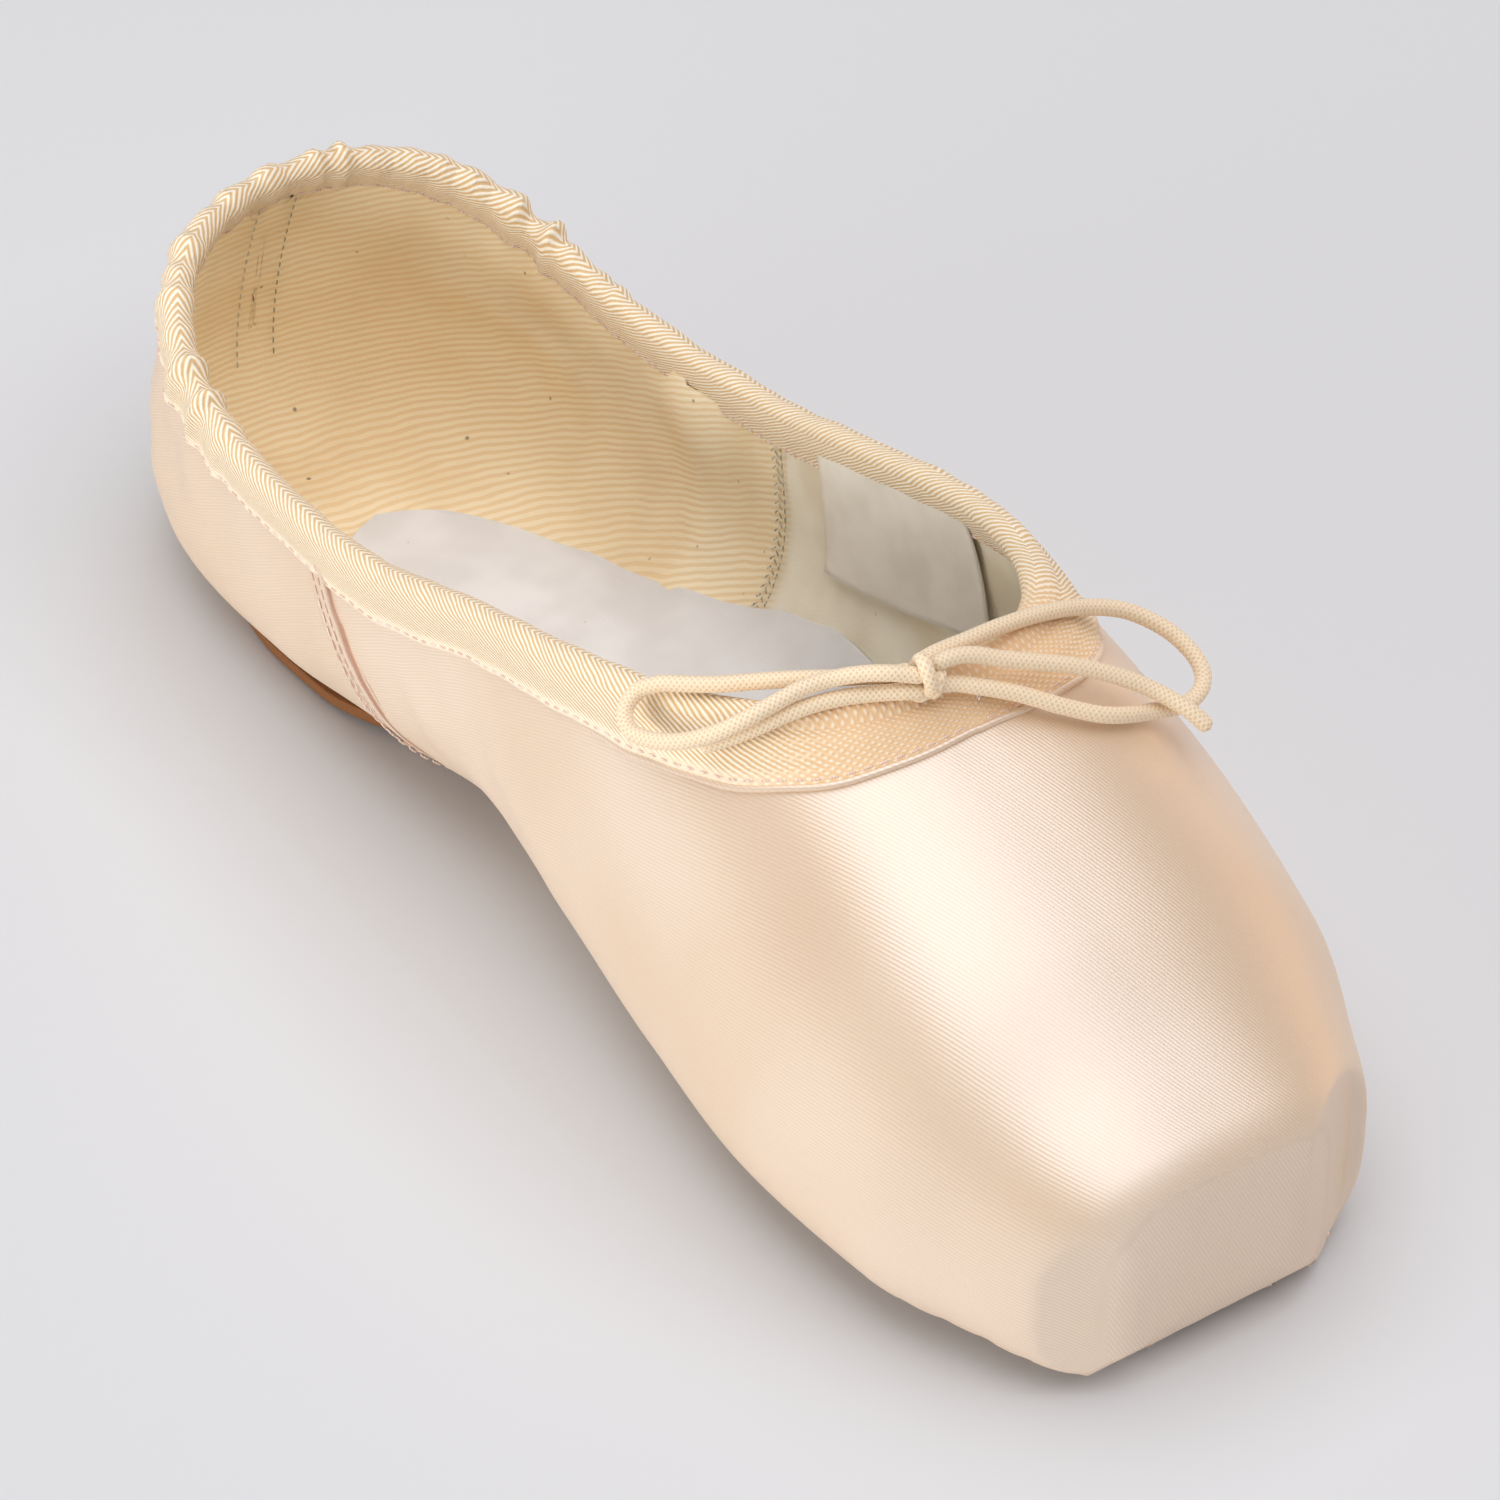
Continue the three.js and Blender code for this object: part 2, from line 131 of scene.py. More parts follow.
def make_camera():
    """A long lens from the toe's left, well above the floor, with a slight roll."""
    eye = Vector((-0.4707, -0.6599, 0.6972))
    aim = Vector((0.0035, -0.006, 0.022))
    roll = math.radians(0.88)
    back = (eye - aim).normalized()
    level = Vector((0, 0, 1)).cross(back).normalized()
    above = back.cross(level)
    right = math.cos(roll) * level + math.sin(roll) * above
    up = back.cross(right)
    data = bpy.data.cameras.new("camera")
    data.lens = 182
    data.sensor_width = 36
    camera = added("camera", data)
    turn = Matrix((right, up, back)).transposed().to_4x4()
    camera.matrix_world = Matrix.Translation(eye) @ turn
    bpy.context.scene.camera = camera


make_camera()

# ---- Mesh and line helpers ---------------------------------------------------------------------


def grid_mesh(name, points, uv, wrap_rows=False, wrap_columns=False, keep=None, ends=False):
    """A mesh through rows and columns of points (mm), with a UV map in millimetres.

    uv holds one more row or column than points where the grid wraps."""
    rows, columns = points.shape[:2]
    i = np.arange(rows if wrap_rows else rows - 1)
    j = np.arange(columns if wrap_columns else columns - 1)
    i, j = (a.ravel() for a in np.meshgrid(i, j, indexing="ij"))
    corners = [(i, j), (i + 1, j), (i + 1, j + 1), (i, j + 1)]
    faces = np.stack([(a % rows) * columns + b % columns for a, b in corners], axis=1)
    corner_uv = np.stack([uv[a, b] for a, b in corners], axis=1)
    if keep is not None:
        chosen = keep.ravel()[faces].all(axis=1)
        faces, corner_uv = faces[chosen], corner_uv[chosen]
    used, again = np.unique(faces, return_inverse=True)
    faces, corner_uv = again.reshape(-1, 4).tolist(), corner_uv.reshape(-1, 2)
    if ends:
        for row, turn in ((0, 1), (rows - 1, -1)):
            ring = np.arange(row * columns, (row + 1) * columns)[::turn]
            faces.append(np.searchsorted(used, ring).tolist())
            corner_uv = np.concatenate([corner_uv, uv[row, :columns][::turn]])
    mesh = bpy.data.meshes.new(name)
    mesh.from_pydata((points.reshape(-1, 3)[used] * MM).tolist(), [], faces)
    layer = mesh.uv_layers.new(name="cloth_mm")
    layer.data.foreach_set("uv", corner_uv.astype(np.float32).ravel())
    smooth_shaded(mesh)
    return added(name, mesh), used


def store(piece, used, **values):
    """Keeps one number a point on a mesh, for its material to read."""
    for name, value in values.items():
        layer = piece.data.attributes.new(name, "FLOAT", "POINT")
        layer.data.foreach_set("value", value.ravel()[used].astype(np.float32))


def fit_out(piece, material, replaced=()):
    """Gives a piece its material, hangs it under the root body so that it sits on the shoe, and
    hides the parts it replaces.
    """
    if material is not None:
        piece.data.materials.clear()
        piece.data.materials.append(material)
    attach(piece, "root")
    if replaced:
        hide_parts(*replaced)
    return piece


def thicken(piece, thickness, offset):
    """Turns a sheet into a closed leaf of that thickness in millimetres."""
    leaf = piece.modifiers.new("leaf", "SOLIDIFY")
    leaf.thickness = thickness * MM
    leaf.offset = offset
    leaf.use_even_offset = False


def lengths(line):
    return np.concatenate([[0], np.cumsum(np.linalg.norm(np.diff(line, axis=0), axis=1))])


def even(line, step):
    """A line's points again, evenly spaced by about step."""
    run = lengths(line)
    count = max(int(round(run[-1] / step)), 2)
    at = np.linspace(0, run[-1], count + 1)
    return np.stack([np.interp(at, run, line[:, k]) for k in range(line.shape[1])], axis=1)


def through(points, step):
    """A smooth curve through a list of points, evenly spaced by about step."""
    p = np.array(points, float)
    p = np.vstack([2 * p[0] - p[1], p, 2 * p[-1] - p[-2]])
    line = []
    for p0, p1, p2, p3 in zip(p[:-3], p[1:-2], p[2:-1], p[3:]):
        t1 = np.linalg.norm(p1 - p0) ** 0.5
        t2 = t1 + np.linalg.norm(p2 - p1) ** 0.5
        t3 = t2 + np.linalg.norm(p3 - p2) ** 0.5
        t = np.linspace(t1, t2, 16, endpoint=False)[:, None]
        a1 = (t1 - t) / t1 * p0 + t / t1 * p1
        a2 = (t2 - t) / (t2 - t1) * p1 + (t - t1) / (t2 - t1) * p2
        a3 = (t3 - t) / (t3 - t2) * p2 + (t - t2) / (t3 - t2) * p3
        b1 = (t2 - t) / t2 * a1 + t / t2 * a2
        b2 = (t3 - t) / (t3 - t1) * a2 + (t - t1) / (t3 - t1) * a3
        line.append((t2 - t) / (t2 - t1) * b1 + (t - t1) / (t2 - t1) * b2)
    return even(np.vstack(line + [p[-2:-1]]), step)


def unit(v):
    return v / np.maximum(np.linalg.norm(v, axis=-1, keepdims=True), 1e-9)


def ring_frames(line, closed):
    """Two directions across a line at each point, without twist."""
    if closed:
        along = unit(np.roll(line, -1, axis=0) - np.roll(line, 1, axis=0))
    else:
        along = unit(np.gradient(line, axis=0))
    side = np.zeros_like(line)
    start = np.cross(along[0], (0, 0, 1.0))
    side[0] = unit(start if np.linalg.norm(start) > 0.1 else np.cross(along[0], (1.0, 0, 0)))
    for k in range(1, len(line)):
        side[k] = unit(side[k - 1] - along[k] * (side[k - 1] @ along[k]))
    return side, np.cross(along, side)


def tube(name, line, radius, sides=18, closed=False):
    """A round cord along a line, with round ends unless it is closed."""
    side, above = ring_frames(line, closed)
    radius = np.full(len(line), radius, float) if np.isscalar(radius) else radius.copy()
    run = lengths(line)
    if not closed:
        nearest = np.minimum(run, run[-1] - run)
        cap = np.clip(1 - nearest / radius.max(), 0, 1)
        radius = radius * np.maximum(np.sqrt(1 - cap ** 2), 0.04)
    angle = np.linspace(0, 2 * math.pi, sides, endpoint=False)[None, :, None]
    points = line[:, None] + radius[:, None, None] * (
        np.cos(angle) * side[:, None] + np.sin(angle) * above[:, None])
    rows = len(line) + (1 if closed else 0)
    u = np.append(run, run[-1] + run[1])[:rows]
    v = np.arange(sides + 1) * 2 * math.pi / sides * radius.max()
    uv = np.stack(np.meshgrid(u, v, indexing="ij"), axis=-1)
    piece, _ = grid_mesh(name, points, uv, wrap_rows=closed, wrap_columns=True)
    ends = [] if closed else [0, (len(line) - 1) * sides]
    close_up(piece, [[first + k for k in range(sides)] for first in ends])
    return piece


def close_up(piece, rings=()):
    """Puts a face over each ring of corners, and turns all faces outwards."""
    work = bmesh.new()
    work.from_mesh(piece.data)
    work.verts.ensure_lookup_table()
    for ring in rings:
        work.faces.new([work.verts[k] for k in ring])
    bmesh.ops.recalc_face_normals(work, faces=work.faces)
    work.to_mesh(piece.data)
    work.free()
    smooth_shaded(piece.data)


# ---- Bow ---------------------------------------------------------------------------------------


def build_knot():
    """The drawstring's knot: three short turns of cord, the first upright over the strands."""
    turn = np.linspace(0, 2 * math.pi, 48, endpoint=False)
    middle = np.array(KNOT_AT, float)
    first = middle + np.stack([0.35 * np.sin(2 * turn) - 0.4, 1.75 * np.cos(turn) - 0.2,
                               2.25 * np.sin(turn) + 0.5], axis=1)
    second = middle + np.stack([1.35 + 0.9 * np.cos(turn), -0.4 + 1.5 * np.cos(turn + 0.5),
                                -1.1 + 1.6 * np.sin(turn)], axis=1)
    third = middle + np.stack([-0.2 + 1.2 * np.cos(turn), 1.1 * np.sin(turn) + 0.6,
                               -0.7 + 1.7 * np.sin(turn + 0.7)], axis=1)
    turns = [tube("turn", line, CORD_DIAMETER / 2 * 0.92, 16, closed=True)
             for line in (first, second, third)]
    work = bmesh.new()
    for piece in turns:
        work.from_mesh(piece.data)
    mesh = bpy.data.meshes.new("knot")
    work.to_mesh(mesh)
    work.free()
    for piece in turns:
        bpy.data.objects.remove(piece)
    smooth_shaded(mesh)
    return added("elastic_knot", mesh)


knot = build_knot()
bow = {}
for name, route in BOW_ROUTES.items():
    line = through(route, 0.45)
    bow[name] = tube("elastic_" + name[4:], line, CORD_DIAMETER / 2)


# ---- The last ----------------------------------------------------------------------------------


def follow(rows, column=1):
    """A smooth curve through a table's rows that never swings past them."""
    xs = np.array([row[0] for row in rows], float)
    ys = np.array([row[column] for row in rows], float)
    rise = np.diff(ys) / np.diff(xs)
    same_way = rise[:-1] * rise[1:] > 0
    total = np.where(same_way, rise[:-1] + rise[1:], 1)
    slope = np.concatenate([rise[:1], np.where(same_way, 2 * rise[:-1] * rise[1:] / total, 0),
                            rise[-1:]])

    def value(x):
        x = np.clip(x, xs[0], xs[-1])
        i = np.clip(np.searchsorted(xs, x, side="right") - 1, 0, len(xs) - 2)
        step = xs[i + 1] - xs[i]
        u = (x - xs[i]) / step
        a = ys[i] * (1 + 2 * u) * (1 - u) ** 2 + slope[i] * step * u * (1 - u) ** 2
        return a + ys[i + 1] * u * u * (3 - 2 * u) - slope[i + 1] * step * u * u * (1 - u)

    return value


LAST = {name: follow(SECTIONS, k) for k, name in enumerate(SECTION_COLUMNS) if k}
topline = follow(TOPLINE)
sole_half = follow(SOLE_OUTLINE)
sock_half = follow(SOCK_OUTLINE)


def soft_step(x, start, end):
    u = np.clip((x - start) / (end - start), 0, 1)
    return u * u * (3 - 2 * u)


def round_off(u, power):
    return (1 - (1 - np.clip(u, 0, 1)) ** power) ** (1 / power)


def wall_at(t):
    return BOX_WALL + (QUARTER_WALL - BOX_WALL) * soft_step(t, BOX_END - 25, BOX_END + 25)


def section_sizes(t):
    heel = round_off((LENGTH - t) / HEEL_ROUND, 2.3)
    seat = round_off((LENGTH - t) / HEEL_EDGE, 2.5)
    rim = PLATFORM_EDGE * (1 - round_off(t / PLATFORM_EDGE, 2))
    widest = LAST["widest"](t)
    tip = PLATFORM_HALF / SECTIONS[0][1]
    toe = tip + (1 - tip) * round_off(t / TOE_ROUND, 2.2)
    return {
        "half": LAST["half"](t) * heel * toe,
        "widest": widest,
        "floor": widest - (widest - LAST["floor"](t)) * seat + 0.3 * rim,
        "crown": widest + (LAST["crown"](t) - widest) * (0.35 + 0.65 * seat) - 0.9 * rim,
        "flat": LAST["flat"](t) * heel * toe,
        "low": LAST["low"](t),
        "high": LAST["high"](t),
    }


def leaned(t, z, inset):
    """How far along the shoe a point lies, with the gathered heel leaning forward."""
    y = inset + t * (LENGTH - 2 * inset) / LENGTH
    back = np.clip((t - 175) / (LENGTH - 175), 0, 1) ** 2
    return TOE_Y + y - HEEL_LEAN * back * np.maximum((z - LEAN_FROM) / 40, 0) ** 1.6


def last_point(t, angle, inset):
    """A point of the last at place t and angle round the section, moved inwards by inset."""
    s = section_sizes(t)
    c, up = np.cos(angle), np.sin(angle)
    below = up < 0
    power = np.where(below, s["low"], s["high"])
    flat = np.where(below, np.minimum(s["flat"], np.maximum(s["half"] - inset - 1, 0)), 0)
    reach = np.maximum(s["half"] - inset, 0.4) - flat
    x = np.where(np.abs(c) < 1e-9, 0, np.sign(c) * (flat + reach * np.abs(c) ** (2 / power)))
    height = np.where(below, s["widest"] - s["floor"], s["crown"] - s["widest"]) - inset
    z = s["widest"] + np.sign(up) * height * np.abs(up) ** (2 / power)
    return np.stack([x, leaned(t, z, inset), z], axis=-1)


def wall_point(t, z, side, inset):
    """A point on the side of the last (side is 1 or -1) at place t and height z."""
    t, z, inset = np.broadcast_arrays(*(np.asarray(a, float) for a in (t, z, inset)))
    s = section_sizes(t)
    below = z < s["widest"]
    power = np.where(below, s["low"], s["high"])
    flat = np.where(below, np.minimum(s["flat"], np.maximum(s["half"] - inset - 1, 0)), 0)
    height = np.where(below, s["widest"] - s["floor"], s["crown"] - s["widest"]) - inset
    share = np.clip(np.abs(z - s["widest"]) / height, 0, 1)
    reach = np.maximum(s["half"] - inset, 0.4) - flat
    x = flat + reach * (1 - share ** power) ** (1 / power)
    return np.stack([side * x, leaned(t, z, inset), z], axis=-1)


def above_edge(p):
    """About how far a point is inside the foot opening, in mm; less than 0 is on the shoe."""
    t = p[..., 1] - TOE_Y
    front = np.minimum(t - THROAT - THROAT_LENGTH, 0) / THROAT_LENGTH
    return np.minimum(p[..., 2] - topline(t),
                      (1 - np.hypot(p[..., 0] / THROAT_HALF, front)) * 50)


class Skin:
    """A surface of the last as rings of evenly spaced points, from under the foot round by the
    right side, crown and left side."""

    def __init__(self, places, across, inset, caps=()):
        angle = np.linspace(-math.pi / 2, 1.5 * math.pi, 1081)
        rings = last_point(places[:, None], angle[None], inset(places)[:, None])
        table = []
        for ring in rings:
            run = lengths(ring)
            at = np.linspace(0, run[-1], across + 1)
            table.append(np.stack([np.interp(at, run, ring[:, k]) for k in range(3)], axis=1))
        table = np.array(table)
        self.places = np.array(places)
        if len(caps):
            shares = np.array(caps)[:, None, None]
            for end in (0, -1):
                middle = table[end, :-1].mean(axis=0)
                cap = middle + (table[end] - middle) * shares
                if end == 0:
                    cap[..., 1] -= 0.5 * (1 - shares[..., 0] ** 2)
                    table = np.concatenate([cap, table])
                else:
                    rising = table[end, :across // 2 + 1]
                    cap[..., 1] = np.interp(cap[..., 2], rising[:, 2], rising[:, 1])
                    table = np.concatenate([table, cap[::-1]])
            zeros = np.zeros(len(caps))
            self.places = np.concatenate([zeros, places, zeros + places[-1]])
        self.table = table

    def at(self, q, w):
        rows, columns = self.table.shape[0] - 1, self.table.shape[1] - 1
        q = np.clip(q, 0, rows - 1e-6)
        c = np.clip(w, 0, 1 - 1e-9) * columns
        i, j = q.astype(int), c.astype(int)
        a, b = (q - i)[..., None], (c - j)[..., None]
        t = self.table
        return ((t[i, j] * (1 - b) + t[i, j + 1] * b) * (1 - a)
                + (t[i + 1, j] * (1 - b) + t[i + 1, j + 1] * b) * a)

    def normals(self):
        t = self.table
        along = np.gradient(t, axis=0)
        wrapped = np.concatenate([t[:, -2:-1], t, t[:, 1:2]], axis=1)
        around = (wrapped[:, 2:] - wrapped[:, :-2]) / 2
        return unit(np.cross(along, around))

    def uv(self):
        """Millimetres along the shoe's side, and round it from the crown."""
        side = self.table[:, self.table.shape[1] // 4]
        u = lengths(side)[:, None] + np.zeros(self.table.shape[1])[None]
        round_it = np.linalg.norm(np.diff(self.table, axis=1), axis=2).sum(axis=1)
        v = (np.linspace(0, 1, self.table.shape[1])[None] - 0.5) * round_it[:, None]
        tip = (self.places < 0.7)[:, None]
        x, z = self.table[..., 0], self.table[..., 2]
        return np.stack([np.where(tip, z - LAST["crown"](0), u), np.where(tip, -x, v)], axis=-1)


def smooth_loop(values, width):
    """Evens out a closed row of numbers over that many neighbours."""
    kernel = np.hanning(width + 2)[1:-1]
    kernel /= kernel.sum()
    reach = width // 2
    padded = np.concatenate([values[-reach:], values, values[:reach]])
    return np.convolve(padded, kernel, mode="valid")


def edge_loop(skin, drop, count):
    """The opening's edge on a skin, lowered by drop: row and column share of each point, from
    the throat round by the right side."""
    rows = skin.table.shape[0] - 1
    middle = float(np.interp(150, skin.places, np.arange(len(skin.places))))
    turn = np.linspace(0, 2 * math.pi, 1440, endpoint=False)[:, None]
    out = np.linspace(0, 1, 600)[None]
    ahead = np.where(np.cos(turn) > 0, middle, rows - middle)
    q = middle - np.cos(turn) * out * ahead
    w = 0.5 - np.sin(turn) * out * 0.3
    room = above_edge(skin.at(q, w)) + drop
    first = np.argmax(room < 0, axis=1)
    k = np.arange(len(turn))
    a, b = room[k, first - 1], room[k, first]
    share = a / (a - b)
    q = q[k, first - 1] + (q[k, first] - q[k, first - 1]) * share
    w = w[k, first - 1] + (w[k, first] - w[k, first - 1]) * share
    line = skin.at(q, w)
    run = lengths(np.vstack([line, line[:1]]))
    at = np.arange(count) * run[-1] / count
    q = np.interp(at, run, np.append(q, q[0]))
    w = np.interp(at, run, np.append(w, w[0]))
    return smooth_loop(q, 13), smooth_loop(w, 13)


def run_down(skin, q, w, step, count):
    """Lines on a skin, each a step further down from a closed line, and their normals."""
    lines, normals = [], []
    for _ in range(count + 1):
        p = skin.at(q, w)
        along = unit(np.roll(p, -1, axis=0) - np.roll(p, 1, axis=0))
        by_q = skin.at(q + 0.5, w) - skin.at(q - 0.5, w)
        by_w = (skin.at(q, w + 0.002) - skin.at(q, w - 0.002)) / 0.004
        normal = unit(np.cross(by_q, by_w))
        down = np.cross(along, normal)
        if above_edge(p + down).mean() > above_edge(p).mean():
            down = -down
        qq, ww, qw = (by_q ** 2).sum(1), (by_w ** 2).sum(1), (by_q * by_w).sum(1)
        rq, rw = (by_q * down).sum(1) * step, (by_w * down).sum(1) * step
        area = qq * ww - qw ** 2
        lines.append(p)
        normals.append(normal)
        q = q + smooth_loop((rq * ww - rw * qw) / area, 7)
        w = w + smooth_loop((rw * qq - rq * qw) / area, 7)
    return np.array(lines), np.array(normals)


# ---- Creases, gathers and pleats ---------------------------------------------------------------

# Soft creases pressed into the quarters: side, start and end (place, height), depth and width.
# A minus depth is a ridge.
QUARTER_CREASES = [
    (-1, 152, 41, 140, 22, 0.5, 3.0),
    (-1, 144, 45, 132, 29, 0.5, 3.4),
    (-1, 136, 49, 126, 34, 0.35, 3.2),
    (-1, 130, 34, 112, 20, 0.4, 4.0),
    (-1, 148, 36, 136, 20, -0.35, 3.0),
    (-1, 198, 42, 188, 22, 0.45, 5.0),
    (-1, 211, 38, 206, 18, 0.5, 6.0),
    (-1, 203, 40, 197, 24, -0.3, 4.0),
    (-1, 178, 34, 170, 18, 0.35, 4.5),
    (1, 154, 41, 143, 20, 0.5, 3.2),
    (1, 146, 45, 131, 30, 0.45, 3.6),
    (1, 137, 40, 118, 22, 0.35, 4.0),
    (1, 150, 38, 138, 24, -0.3, 3.0),
    (1, 196, 42, 190, 20, 0.45, 5.0),
    (1, 212, 40, 203, 20, 0.45, 6.0),
    (1, 180, 36, 168, 16, 0.3, 4.5),
]
LINING_CREASES = [
    (1, 169, 40, 160, 8, -3.2, 7.5),
    (1, 190, 30, 182, 14, 0.6, 9.0),
    (1, 216, 22, 190, 16, 0.5, 3.4),
    (1, 224, 34, 200, 30, 0.3, 4.0),
    (1, 212, 30, 186, 26, 0.35, 2.6),
    (1, 126, 22, 112, 14, 0.5, 2.2),
    (1, 121, 26, 108, 17, -0.4, 2.0),
    (1, 152, 40, 146, 20, 0.3, 3.0),
    (1, 196, 44, 190, 26, 0.35, 5.0),
    (-1, 172, 40, 166, 14, 0.6, 6.0),
    (-1, 150, 40, 140, 16, 0.5, 4.0),
    (-1, 205, 40, 200, 18, 0.4, 5.0),
]


def crease_depth(p, creases, inside=False):
    """How far a surface is pushed in by a table of creases."""
    depth = np.zeros(p.shape[:-1])
    for side, t0, z0, t1, z1, deep, wide in creases:
        inset = wall_at(t0) if inside else 0
        a = wall_point(t0, z0, side, inset)
        b = wall_point(t1, z1, side, inset)
        along = b - a
        share = np.clip(((p - a) @ along) / (along @ along), 0, 1)
        away = np.linalg.norm(p - (a + share[..., None] * along), axis=-1)
        ends = np.sin(math.pi * np.clip(share, 0.03, 0.97)) ** 0.5
        depth += deep * ends * np.exp(-(away / wide) ** 2)
        depth -= 0.3 * deep * ends * np.exp(-((away - 1.9 * wide) / wide) ** 2)
    return depth


def ripple(s, spacing, seed):
    """Uneven waves along a line, about spacing apart, between -1 and 1."""
    draw = np.random.default_rng(seed)
    total = np.zeros_like(s)
    for share, strength in ((1.0, 0.55), (0.62, 0.3), (1.7, 0.35)):
        drift = draw.uniform(0, 2 * math.pi, 2)
        total += strength * np.sin(2 * math.pi * s / (spacing * share) + drift[0]
                                   + 1.3 * np.sin(2 * math.pi * s / (spacing * 7.3) + drift[1]))
    return total


def folds(s, spacing, seed):
    """Uneven gathers along a line: narrow raised folds with wider hollows between them."""
    wave = ripple(s, spacing, seed)
    strength = 0.65 + 0.35 * ripple(s, spacing * 5.5, seed + 1)
    return smooth_loop(strength * (0.9 * np.exp(-((wave - 1) / 0.7) ** 2) + 0.4 * wave - 0.1), 5)


# Notches of the pleats under the toe, as bearings in degrees from the toe's middle line, seen
# from under the ball of the foot.
PLEAT_NOTCHES = [-104, -92, -81, -70, -60.5, -52, -44, -36.5, -29, -22, -14.5, -7, 0.5, 7.5, 15,
                 22.5, 30, 37.5, 45, 53.5, 62, 71.5, 82, 94, 106]
PLEAT_CENTRE = 44.0


def pleat_notch(p):
    """1 on the line of a pleat under the toe, 0 between."""
    t = p[..., 1] - TOE_Y
    bearing = np.degrees(np.arctan2(p[..., 0], PLEAT_CENTRE - t))
    radius = np.hypot(p[..., 0], PLEAT_CENTRE - t)
    nearest = np.full(bearing.shape, 1e9)
    for notch in PLEAT_NOTCHES:
        nearest = np.minimum(nearest, np.abs(bearing - notch))
    away = np.radians(nearest) * radius
    reach = 4.6 + 4.5 * soft_step(t, 3, 12)
    under = soft_step(-p[..., 2], -reach, -1.8) * soft_step(radius, 14, 20)
    return np.exp(-(away / 0.95) ** 2) * under


# ---- Rim of the opening ------------------------------------------------------------------------

def fine_places(count):
    return LENGTH * (1 - np.cos(math.pi * np.linspace(0.002, 0.998, count))) / 2


RIM_POINTS = 760
RIM_DROP = 0.9
LEAF_STEP = 0.5
LEAF_STEPS = 20
THROAT_ROLL_LEFT = 105         # rim points that the rolled edge covers on each side
THROAT_ROLL_RIGHT = 52
outer_skin = Skin(fine_places(400), 480, lambda t: 0 * t)
inner_skin = Skin(fine_places(400), 480, wall_at)
outer_leaf, outer_up = run_down(outer_skin, *edge_loop(outer_skin, RIM_DROP, RIM_POINTS),
                                LEAF_STEP, LEAF_STEPS)
inner_leaf, inner_up = run_down(inner_skin, *edge_loop(inner_skin, RIM_DROP, RIM_POINTS),
                                LEAF_STEP, LEAF_STEPS)
inner_up = -inner_up
rim_run = lengths(np.vstack([outer_leaf[0], outer_leaf[0][:1]]))
RIM_LENGTH = rim_run[-1]
rim_run = rim_run[:-1]
from_throat = np.minimum(rim_run, RIM_LENGTH - rim_run)
rim_place = outer_leaf[0][:, 1] - TOE_Y
at_heel = soft_step(rim_place, 172, 196)
at_throat = np.exp(-(from_throat / 17) ** 2)
gather = (1.25 * at_heel * folds(rim_run, 5.8, 11) + 0.45 * at_throat * folds(rim_run, 3.4, 5)
          + 0.2 * ripple(rim_run, 13, 3))
gather_edge = at_heel * folds(rim_run, 7.4, 21) + 0.25 * ripple(rim_run, 15, 9)
sway = at_heel * ripple(rim_run, 8.3, 17) + 0.3 * ripple(rim_run, 21, 13)
tape_share = follow([(60, 0.95), (84, 0.78), (104, 0.7), (124, 0.68), (150, 0.8), (172, 0.66),
                     (186, 0.68), (198, 0.76), (210, 0.66), (238, 0.68)])(rim_place)
inner_share = follow([(60, 0.7), (110, 0.62), (170, 0.6), (195, 0.56), (238, 0.54)])(rim_place)


def near_rim(p, reach):
    """For points near the opening's edge: nearest rim point's number and distance."""
    flat = p.reshape(-1, 3)
    chosen = np.nonzero(above_edge(flat) > -reach)[0]
    number = np.zeros(len(flat), int)
    away = np.full(len(flat), 1e3)
    edge = outer_leaf[0]
    for part in np.array_split(chosen, max(len(chosen) // 4000, 1)):
        square = ((flat[part, None] - edge[None]) ** 2).sum(axis=2)
        number[part] = square.argmin(axis=1)
        away[part] = np.sqrt(square.min(axis=1))
    return number.reshape(p.shape[:-1]), away.reshape(p.shape[:-1])


# ---- Satin upper -------------------------------------------------------------------------------

# Sizes of the rings that close the platform and the heel, as shares of the last full ring.
CAP_SHARES = (0.04, 0.2, 0.4, 0.6, 0.78, 0.92, 0.975)
# The platform's side facets: how far out each one starts, and how steeply it falls back.
FACET_LEFT = 16.6
FACET_LEFT_SLOPE = 0.56
FACET_RIGHT = 12.4
FACET_RIGHT_SLOPE = 0.62
TIP_FOOT = 7.0                 # height below which the platform's foot is cut back
UNDER_TAPE = 3.5               # how far the cloth runs up under the tape


def build_satin():
    """The satin from the platform to the heel, pleated under the toe and gathered at the heel."""
    places = np.concatenate([
        [0, 0.15, 0.4, 0.8, 1.3], np.arange(1.9, 12, 0.75), np.arange(12.6, 60, 1.1),
        np.arange(60.6, 200, 1.5), np.arange(201, 230, 1.2),
        LENGTH - 8.0 * (1 - np.linspace(0, 0.985, 16)) ** 2.2])
    skin = Skin(places, 288, lambda t: 0 * t, CAP_SHARES)
    p, normal = skin.table, skin.normals()
    number, away = near_rim(p, 34)
    rise = -0.8 * pleat_notch(p) - crease_depth(p, QUARTER_CREASES)
    fading = soft_step(-away, -22, -5)
    rise += 0.6 * fading * (smooth_loop(gather, 5) * np.maximum(at_heel, at_throat * 0.4))[number]
    dents = waviness(p, 5)
    t = p[..., 1] - TOE_Y
    rise += 0.16 * dents * soft_step(t, 100, 150) * soft_step(p[..., 2], 6, 16)
    rise = np.where(t > 60, np.maximum(rise, -0.6), rise)
    p = p + normal * rise[..., None]
    p = crease_tip(p)
    keep = (above_edge(skin.table) < -UNDER_TAPE)[:, :-1]
    piece, used = grid_mesh("satin_upper", p[:, :-1], skin.uv(), wrap_columns=True, keep=keep,
                            ends=True)
    # pleat and seam mark where the satin is painted with shade: the pleat notches and the foot of
    # the quarter's fold.
    store(piece, used, pleat=pleat_notch(skin.table)[:, :-1], seam=seam_shade_nearness(p)[:, :-1])
    thicken(piece, 0.35, -1)
    return piece


